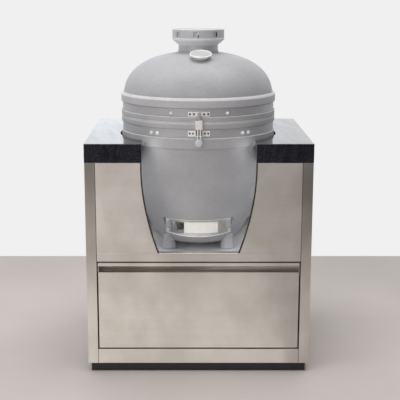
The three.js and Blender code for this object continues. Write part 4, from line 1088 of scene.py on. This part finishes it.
def makeThermometer(dial, marks):
    floor, top, glassR = dial.floor, dial.floor + dial.face, dial.glassRadius
    case = softened([
        (0.0, -dial.stemLength),
        (dial.stemRadius, -dial.stemLength, 0.0012),
        (dial.stemRadius, 0.0),
        (dial.bottomRadius, 0.0, 0.002),
        (dial.radius - 0.0035, dial.flank - 0.0015, 0.003),
        (dial.radius, dial.flank, 0.002),
        (dial.radius, dial.height, 0.003),
        (dial.bore, dial.height, 0.0022),
        (dial.bore, floor),
        (0.0, floor),
    ], 6)
    build("thermometerCase", dialFaces(case, 96), paints.satinSteel, "thermometer_case")
    cover = [(0.0, dial.glassLow), (glassR, dial.glassLow)]
    for share, lift in ((1, -0.0006), (0.8, 0.0002), (0.45, 0.0009), (0, 0.0011)):
        cover.append((glassR * share, dial.glassHigh + lift))
    build("thermometerGlass", dialFaces(cover, 72), glass, "thermometer_glass")
    face = [(0.0, floor), (dial.faceRadius, floor), (dial.faceRadius, top), (0.0, top)]
    strokes = []
    for k in range(marks.count):
        around = marks.turns[0] + (marks.turns[1] - marks.turns[0]) * k / (marks.count - 1)
        length, half = marks.short if k % 4 else marks.long
        ys = (marks.outer - length, marks.outer)
        shape = boxFaces((-half, half), ys, (top, top + marks.height))
        strokes.append(moved(shape, onDial @ Matrix.Rotation(radians(-around), 4, "Z")))
    needle = prismFaces(marks.needle, *(top + z for z in marks.needleZ))
    turn = Matrix.Rotation(radians(-marks.needleTurn), 4, "Z")
    strokes.append(moved(needle, onDial @ turn))
    strokes.append(dialFaces([(radius, top + z) for radius, z in marks.hub], 24))
    slot = slotOf["thermometer_case"]
    for name, shape, mat in (
        ("dialFace", dialFaces(face, 72), paints.dialFace),
        ("dialMarksAndNeedle", joined(*strokes), paints.dialMarks),
    ):
        build(name, shape, mat, on="thermometer_case", slot=slot)


makeThermometer(dialSize, markFacts)

# Top vent: fixed core and turning cap, both with ports
ventSize = Sizes(
    neckRadius=0.078, neckWall=0.006, neckBottom=1.2239, neckTop=1.2499, flareTop=1.2694,
    lip=1.2724, capRadius=0.103, capWall=0.004, capBottom=1.2727, capTop=1.3104,
    coreRadius=0.0984, coreWall=0.0035, coreTop=1.3061, portZ=(1.2814, 1.3009),
    portAngle=12.2, ports=8, capTurn=-5, coreTurn=4.6, edge=0.0008,
    neckFoot=0.002, neckFootTop=0.005, capFoot=0.0008, capFootTop=0.003, capInset=0.0004,
    dishRadius=0.091, dishDepth=0.0009, neckPaint=0.003, rimPaint=0.0036, paintLap=0.001,
    outward=0.1, ease=(0.0005, 2, 50), steps=120,
)


def portTools(vent, turn, innerR, outerR):
    half = vent.portAngle / 2
    turns = [turn + 360 * i / vent.ports for i in range(vent.ports)]
    return joined(*(
        sectorFaces(innerR, outerR, middle - half, middle + half, *vent.portZ, 8)
        for middle in turns
    ))


def makeVent(vent):
    inner, neckR, capR, coreR = (
        vent.neckRadius - vent.neckWall, vent.neckRadius, vent.capRadius, vent.coreRadius,
    )
    coreIn, capIn, top = coreR - vent.coreWall, capR - vent.capWall, vent.capTop
    loop = softened([
        (inner, vent.neckBottom),
        (neckR + vent.neckFoot, vent.neckBottom, 0.0012),
        (neckR + vent.neckFoot, vent.neckBottom + vent.neckFootTop, 0.0012),
        (neckR, vent.neckBottom + vent.neckFootTop + 0.0015, 0.001),
        (neckR, vent.neckTop, 0.006),
        (capR, vent.flareTop, 0.0035),
        (capR, vent.lip, vent.edge),
        (coreR, vent.lip),
        (coreR, vent.coreTop, vent.edge),
        (coreIn, vent.coreTop, vent.edge),
        (coreIn, vent.flareTop, 0.003),
        (inner, vent.neckTop + 0.003, 0.003),
    ])
    ports = portTools(vent, vent.coreTurn, coreR - 0.007, coreR + 0.0003)
    shape = turnedFaces(loop, vent.steps)
    core = build("ventCore", shape, paints.ventPaint, "vent_core", cut=[ports], ease=vent.ease)
    loop = softened([
        (0.0, top - vent.capWall),
        (capIn, top - vent.capWall),
        (capIn, vent.capBottom),
        (capR + vent.capFoot, vent.capBottom, 0.0007),
        (capR + vent.capFoot, vent.capBottom + vent.capFootTop, 0.0007),
        (capR - vent.capInset, vent.capBottom + vent.capFootTop + 0.0008, 0.0003),
        (capR - vent.capInset, top, 0.0024),
        (vent.dishRadius, top, 0.0006),
        (vent.dishRadius - 0.0008, top - vent.dishDepth, 0.0006),
        (0.0, top - vent.dishDepth),
    ])
    ports = portTools(vent, vent.capTurn, capR - 0.008, capR + 0.005)
    shape = turnedFaces(loop, vent.steps)
    cap = build("ventCap", shape, paints.ventPaint, "vent_cap", cut=[ports], ease=vent.ease)
    lap = vent.paintLap
    # the neck below the flare painted with the darker band paint: painted shade
    paintWhere(core, paints.bandPaint, lambda r, z, out, up: (
        r < neckR + vent.neckPaint and z < vent.neckTop and out > vent.outward
    ))
    # the flare under the cap painted lighter: painted light; the cap's lower rim painted lighter:
    # painted highlight
    paintWhere(core, paints.ventEdge, lambda r, z, out, up: (
        r > neckR - lap and vent.neckTop - lap < z < vent.lip and out > vent.outward
    ))
    paintWhere(cap, paints.ventEdge, lambda r, z, out, up: (
        r > capR - lap and z < vent.capBottom + vent.rimPaint
    ))


makeVent(ventSize)
print("thermometer and vent made")

# Coil springs of the hinge, wound round the pin
springSize = Sizes(
    pivotY=0.3, seam=0.9755, coilRadius=0.008, wireRadius=0.00158, start=0.0022,
    length=0.0416, curls=7, stepsPerCurl=28, leg=0.0032,
)


def makeSpring(spring, side, node, name):
    count = spring.curls * spring.stepsPerCurl
    path = []
    for i in range(count + 1):
        angle = 2 * pi * i / spring.stepsPerCurl
        path.append(Vector((
            side * (spring.start + spring.length * i / count),
            spring.pivotY + spring.coilRadius * cos(angle),
            spring.seam + spring.coilRadius * sin(angle),
        )))
    leg = Vector((0, 0, spring.leg))
    path = [path[0] - leg] + path + [path[-1] + leg]
    build(name, tubeFaces(path, spring.wireRadius, 12), paints.rodSteel, node)


makeSpring(springSize, -1, "hinge_spring_left", "hingeSpringLeft")
makeSpring(springSize, 1, "hinge_spring_right", "hingeSpringRight")

# Latch
latchSize = Sizes(
    plateInner=0.3016, plateOuter=0.3046, angle=7.82, front=-0.371, plateFace=-0.3561,
    catchBack=-0.3596, basePlate=(0.9255, 0.9475), boss=(0.9285, 0.9522), bossHalf=0.014,
    block=(0.9525, 0.9865), blockHalf=0.013, slotHalf=0.009, slotYs=(-0.369, -0.35),
    slotZ=(0.9555, 0.995), keeperPlate=(1.0005, 1.0185), tongueHalf=0.006,
    tongueYs=(-0.3671, -0.3616), tongueLow=0.9688, bridgeLow=1.0065, rodRadius=0.0022,
    rodBore=0.0025, rodX=0.0058, rodY=-0.3646, rodZ=(0.9095, 0.9635), knobRadius=0.015,
    knobHalf=0.00575, knobZ=0.902, knobPowers=(0.72, 0.9), grooveXs=(-0.0102, 0.0, 0.0102),
    grooveHalf=0.002, grooveDepth=0.0045, grooveZ=(0.931, 0.96), baseBoreZ=(0.9, 0.96),
    blockBoreZ=(0.94, 0.96), knobBoreTop=0.93, play=0.0003, rodEdge=0.0006,
    baseEase=(0.0005,), blockEase=(0.0018, 4), keeperEase=(0.0008, 3),
    recess=((0.3125, 0.3174), (0.93, 0.9518)), keeperFace=0.001, keeperPaint=1.0165,
)


def makeLatch(latch):
    front, satin = latch.front, paints.satinSteel
    plate = (latch.plateInner, latch.plateOuter, -latch.angle, latch.angle)

    def boresAt(radius, low, high):
        return [postFaces(radius, side * latch.rodX, latch.rodY, low, high) for side in (-1, 1)]

    half = latch.bossHalf
    boss = boxFaces((-half, half), (front, latch.plateFace), latch.boss)
    grooves = [boxFaces(
        (x - latch.grooveHalf, x + latch.grooveHalf), (front - 0.001, front + latch.grooveDepth),
        latch.grooveZ,
    ) for x in latch.grooveXs]
    shape = sectorFaces(*plate, *latch.basePlate, 16)
    base = build("latchBaseBracket", shape, satin, "latch_base_bracket", add=[boss],
                 cut=boresAt(latch.rodBore, *latch.baseBoreZ) + grooves, ease=latch.baseEase)
    # the faces inside the grooves painted dark cast iron: painted shade in the recesses
    deep, band = latch.recess
    paintWhere(base, paints.castIron, lambda r, z, out, up: (
        deep[0] < r < deep[1] and band[0] < z < band[1]
    ))

    half = latch.blockHalf
    shape = boxFaces((-half, half), (front, latch.catchBack), latch.block)
    slot = boxFaces((-latch.slotHalf, latch.slotHalf), latch.slotYs, latch.slotZ)
    build("latchBlock", shape, satin, "latch_block",
          cut=[slot] + boresAt(latch.rodBore, *latch.blockBoreZ), ease=latch.blockEase)

    xs, top = (-latch.tongueHalf, latch.tongueHalf), latch.keeperPlate[1]
    tongue = boxFaces(xs, latch.tongueYs, (latch.tongueLow, top))
    bridge = boxFaces(xs, (latch.tongueYs[0], latch.plateFace), (latch.bridgeLow, top))
    keeper = build("latchKeeper", sectorFaces(*plate, *latch.keeperPlate, 16), satin,
                   "latch_keeper", add=[tongue, bridge], ease=latch.keeperEase)
    # the lower front of the keeper's tongue painted in darker frame steel: a painted dark
    # reflection
    paintWhere(keeper, paints.frameSteel, lambda r, z, out, up: (
        r > latch.plateOuter + latch.keeperFace and z < latch.keeperPaint
    ))

    low, high = latch.rodZ
    loop = softened([
        (0.0, low), (latch.rodRadius, low), (latch.rodRadius, high, latch.rodEdge), (0.0, high),
    ])
    for side, word in ((-1, "Left"), (1, "Right")):
        rod = turnedFaces(loop, 24, (side * latch.rodX, latch.rodY))
        build("latchRod" + word, rod, paints.doorSteel, "latch_rod_" + word.lower())

    wide, deep = latch.knobPowers
    points = [(0.0, -latch.knobHalf)]
    for k in range(1, 32):
        angle = pi * (k / 32 - 0.5)
        points.append((
            latch.knobRadius * cos(angle) ** wide,
            latch.knobHalf * copysign(abs(sin(angle)) ** deep, sin(angle)),
        ))
    points.append((0.0, latch.knobHalf))
    shape = moved(turnedFaces(points, 48, (0, 0)), Matrix.Rotation(radians(90), 4, "X"))
    spot = Matrix.Translation((0, front + latch.knobHalf, latch.knobZ))
    bores = boresAt(latch.rodRadius + latch.play, low - latch.play, latch.knobBoreTop)
    build("latchKnob", moved(shape, spot), paints.knobPlastic, "latch_knob", cut=bores)


makeLatch(latchSize)
print("hinge springs and latch made")


# Screws, bolts and rivets
def headFaces(radius, height, kind, steps=24):
    if kind == "dome":
        arc = [(cos(a), 0.25 + 0.75 * sin(a)) for a in (0.35, 0.7, 1.05, 1.35)]
        profiles = [([(0, 0), (1, 0), (1, 0.25), *arc, (0, 1)], steps)]
    else:
        # a hexagon nut with a washer under it and a rounded cap
        arc = [(0.74 * cos(a), 0.66 + 0.34 * sin(a)) for a in (0.0, 0.4, 0.8, 1.2)]
        profiles = [
            ([(0, 0), (1.12, 0), (1.12, 0.16), (0, 0.16)], steps),
            ([(0, 0.16), (1, 0.16), (1, 0.58), (0.86, 0.66), (0, 0.66)], 6),
            ([(0, 0.6), (0.74, 0.6), *arc, (0, 1)], steps),
        ]
    return joined(*(
        turnedFaces([(radius * r, height * z) for r, z in profile], count, (0, 0))
        for profile, count in profiles
    ))


# the node they ride with, degrees from the front, heights, the face's radius, size of a head
fasteners = {
    "lowerBandNuts": (
        "lower_band", (-36.5, -31.2, 33.3, 38.4), (0.933,), 0.3013, (0.0063, 0.008, "nut"),
        paints.satinSteel,
    ),
    "upperBandNuts": (
        "upper_band", (-20.1, 20.7), (1.0112,), 0.3013, (0.0056, 0.0078, "nut"), paints.satinSteel,
    ),
    "latchBaseScrews": (
        "latch_base_bracket", (-6.5, -4.2, 4.2, 6.5), (0.937,), 0.3046, (0.0036, 0.0016, "dome"),
        paints.castIron,
    ),
    "latchKeeperScrews": (
        "latch_keeper", (-6.4, -3.6, 3.6, 6.4), (1.0095,), 0.3046, (0.0038, 0.0017, "dome"),
        paints.castIron,
    ),
    "draftFrameScrews": (
        "draft_frame", (-35, 35.2), (0.5768, 0.5363), 0.208, (0.0046, 0.003, "dome"),
        paints.satinSteel,
    ),
    "hingeBaseBolts": (
        "hinge_base_bracket", (174.2, 177.6, 182.4, 185.8), (0.9365,), 0.3056,
        (0.005, 0.005, "nut"), paints.brightSteel,
    ),
    "hingeLidBolts": (
        "hinge_lid_bracket", (174.8, 177.8, 182.2, 185.2), (1.0145,), 0.3056,
        (0.005, 0.005, "nut"), paints.brightSteel,
    ),
}
for name, (node, turns, levels, surface, size, mat) in fasteners.items():
    heads = []
    for around in turns:
        normal = (sin(radians(around)), -cos(radians(around)), 0)
        for level in levels:
            spot = pointAround(surface, around, level)
            heads.append(moved(headFaces(*size), setOn(spot, normal, around * 7)))
    build(name, joined(*heads), mat, on=node, slot="bright_steel")

rivetRows = Sizes(
    face=0.37, radius=0.0034, height=0.0009, xs=[-0.372 + 0.124 * k for k in range(7)],
    zs=(0.05, 0.812), sideXs=(-0.372, 0.372), sideZs=(0.2, 0.35, 0.5, 0.65),
)


def makeRivets(rows):
    spots = [(x, z) for x in rows.xs for z in rows.zs]
    spots += [(x, z) for x in rows.sideXs for z in rows.sideZs]
    head = headFaces(rows.radius, rows.height, "dome", 16)
    shapes = [moved(head, setOn((x, rows.face, z), (0, 1, 0))) for x, z in spots]
    slot = slotOf["back_panel"]
    build("backPanelRivets", joined(*shapes), paints.rodSteel, on="back_panel", slot=slot)


makeRivets(rivetRows)
print("fasteners made")

# Floor, light and surroundings
stageFacts = Sizes(
    floorXs=(-6.0, 6.0), floorYs=(-9.0, 1.324), floorLight=(0.54, 0.495, 0.478),
    floorDark=(0.49, 0.447, 0.43), floorFades=(-3.6, -1.5), floorSkew=0.9, floorFar=0.14,
    wall=(0.87, 0.87, 0.875), far=(0.16, 0.155, 0.15),
)


def makeFloor(facts):
    (left, right), (front, back) = facts.floorXs, facts.floorYs
    corners = [(left, front, 0), (right, front, 0), (right, back, 0), (left, back, 0)]
    floor = blank("floor", (corners, [(0, 1, 2, 3)]))
    mat = newMaterial("paleFloor", facts.floorLight, 0.75)
    clouds = grainOf(mat, (1.3, 1.3, 1.3), 3.0, 0.5)
    colour = tinted(mat, clouds, [(0.35, facts.floorDark), (0.65, facts.floorLight)])
    # the floor painted darker away from the cabinet and lighter to the left: a painted pool of
    # light
    coords = addNode(mat, "ShaderNodeTexCoord")
    split = addNode(mat, "ShaderNodeSeparateXYZ")
    wire(mat, coords.outputs["Object"], split.inputs["Vector"])
    aside = mathOf(mat, "MULTIPLY", split.outputs["X"], facts.floorSkew)
    away = mathOf(mat, "SUBTRACT", split.outputs["Y"], aside)
    lightPool = spread(mat, away, facts.floorFar, 1.0, *facts.floorFades)
    feed(mat, "Base Color", multiplied(mat, colour, lightPool))
    floor.data.materials.append(mat)


def makeWorld(facts):
    world = bpy.data.worlds.new("studio")
    scene.world = world
    world.use_nodes = True
    coords = addNode(world, "ShaderNodeTexCoord")
    split = addNode(world, "ShaderNodeSeparateXYZ")
    wire(world, coords.outputs["Generated"], split.inputs["Vector"])
    share = spread(world, split.outputs["Y"], 0.0, 1.0, -1, 1)
    colour = tinted(world, share, [(0.2, facts.far), (0.75, facts.wall)])
    background = world.node_tree.nodes["Background"]
    background.inputs["Strength"].default_value = 1.0
    wire(world, colour, background.inputs["Color"])


# place, the point it faces, width, height, watts, colour
warm, cool, plain = (1.0, 0.968, 0.962), (0.97, 0.98, 1.0), (1.0, 1.0, 1.0)
lamps = {
    "keyLeft": ((-3.6, -3.4, 3.0), (0, 0, 0.6), 2.6, 2.6, 60, (1.0, 0.975, 0.955)),
    "frontLeft": ((-2.2, -6.2, 2.6), (0, 0, 0.8), 3.6, 2.6, 92, warm),
    "frontRight": ((1.7, -6.2, 2.6), (0, 0, 0.8), 3.4, 2.6, 29, warm),
    "overhead": ((0, -0.4, 4.2), (0, 0, 0.9), 2.6, 2.2, 80, plain),
    "floorCard": ((-0.45, -1.0, 0.004), (-0.45, -1.0, 1.0), 1.6, 1.2, 2.4, (1.0, 0.99, 0.93)),
    "bayLeft": ((-0.33, -0.28, 0.66), (0, -0.26, 0.54), 0.16, 0.32, 0.17, cool),
    "bayRight": ((0.33, -0.28, 0.66), (0, -0.26, 0.54), 0.16, 0.32, 0.17, cool),
    "deepLeft": ((-0.32, -0.12, 0.76), (-0.2, 0.06, 0.48), 0.05, 0.1, 0.3, cool),
    "deepRight": ((0.32, -0.12, 0.76), (0.2, 0.06, 0.48), 0.05, 0.1, 0.3, cool),
    "bayFront": ((0, -0.365, 0.505), (0, -0.24, 0.535), 0.30, 0.03, 0.03, (1.0, 0.99, 0.97)),
    "draftInside": ((-0.0785, -0.236, 0.571), (-0.055, -0.17, 0.54), 0.03, 0.012, 0.012, cool),
    "slotLeft": ((-0.2148, -0.32, 0.865), (0, -0.3, 0.865), 0.095, 0.066, 0.04, plain),
    "slotRight": ((0.2148, -0.32, 0.865), (0, -0.3, 0.865), 0.095, 0.066, 0.04, plain),
    "behindWall": ((0, 8.6, 2.9), (0, 0, 1.0), 13.0, 2.6, 46, (0.88, 0.94, 1.0)),
    "behindLeft": ((-3.4, 8.5, 2.9), (0, 0, 1.0), 7.2, 2.6, 26, (0.85, 0.93, 1.0)),
}


def makeLamps(facts):
    for name, (spot, target, width, height, watts, colour) in facts.items():
        data = bpy.data.lights.new(name, "AREA")
        data.shape = "RECTANGLE"
        data.size, data.size_y = width, height
        data.energy = watts
        data.color = colour
        lamp = bpy.data.objects.new(name, data)
        scene.collection.objects.link(lamp)
        lamp.location = spot
        aim = Vector(target) - Vector(spot)
        lamp.rotation_euler = aim.to_track_quat("-Z", "Y").to_euler()
        lamp.visible_camera = False


makeFloor(stageFacts)
makeWorld(stageFacts)
makeLamps(lamps)
scene.view_settings.view_transform = "Standard"
scene.view_settings.look = "None"
print("stage set")
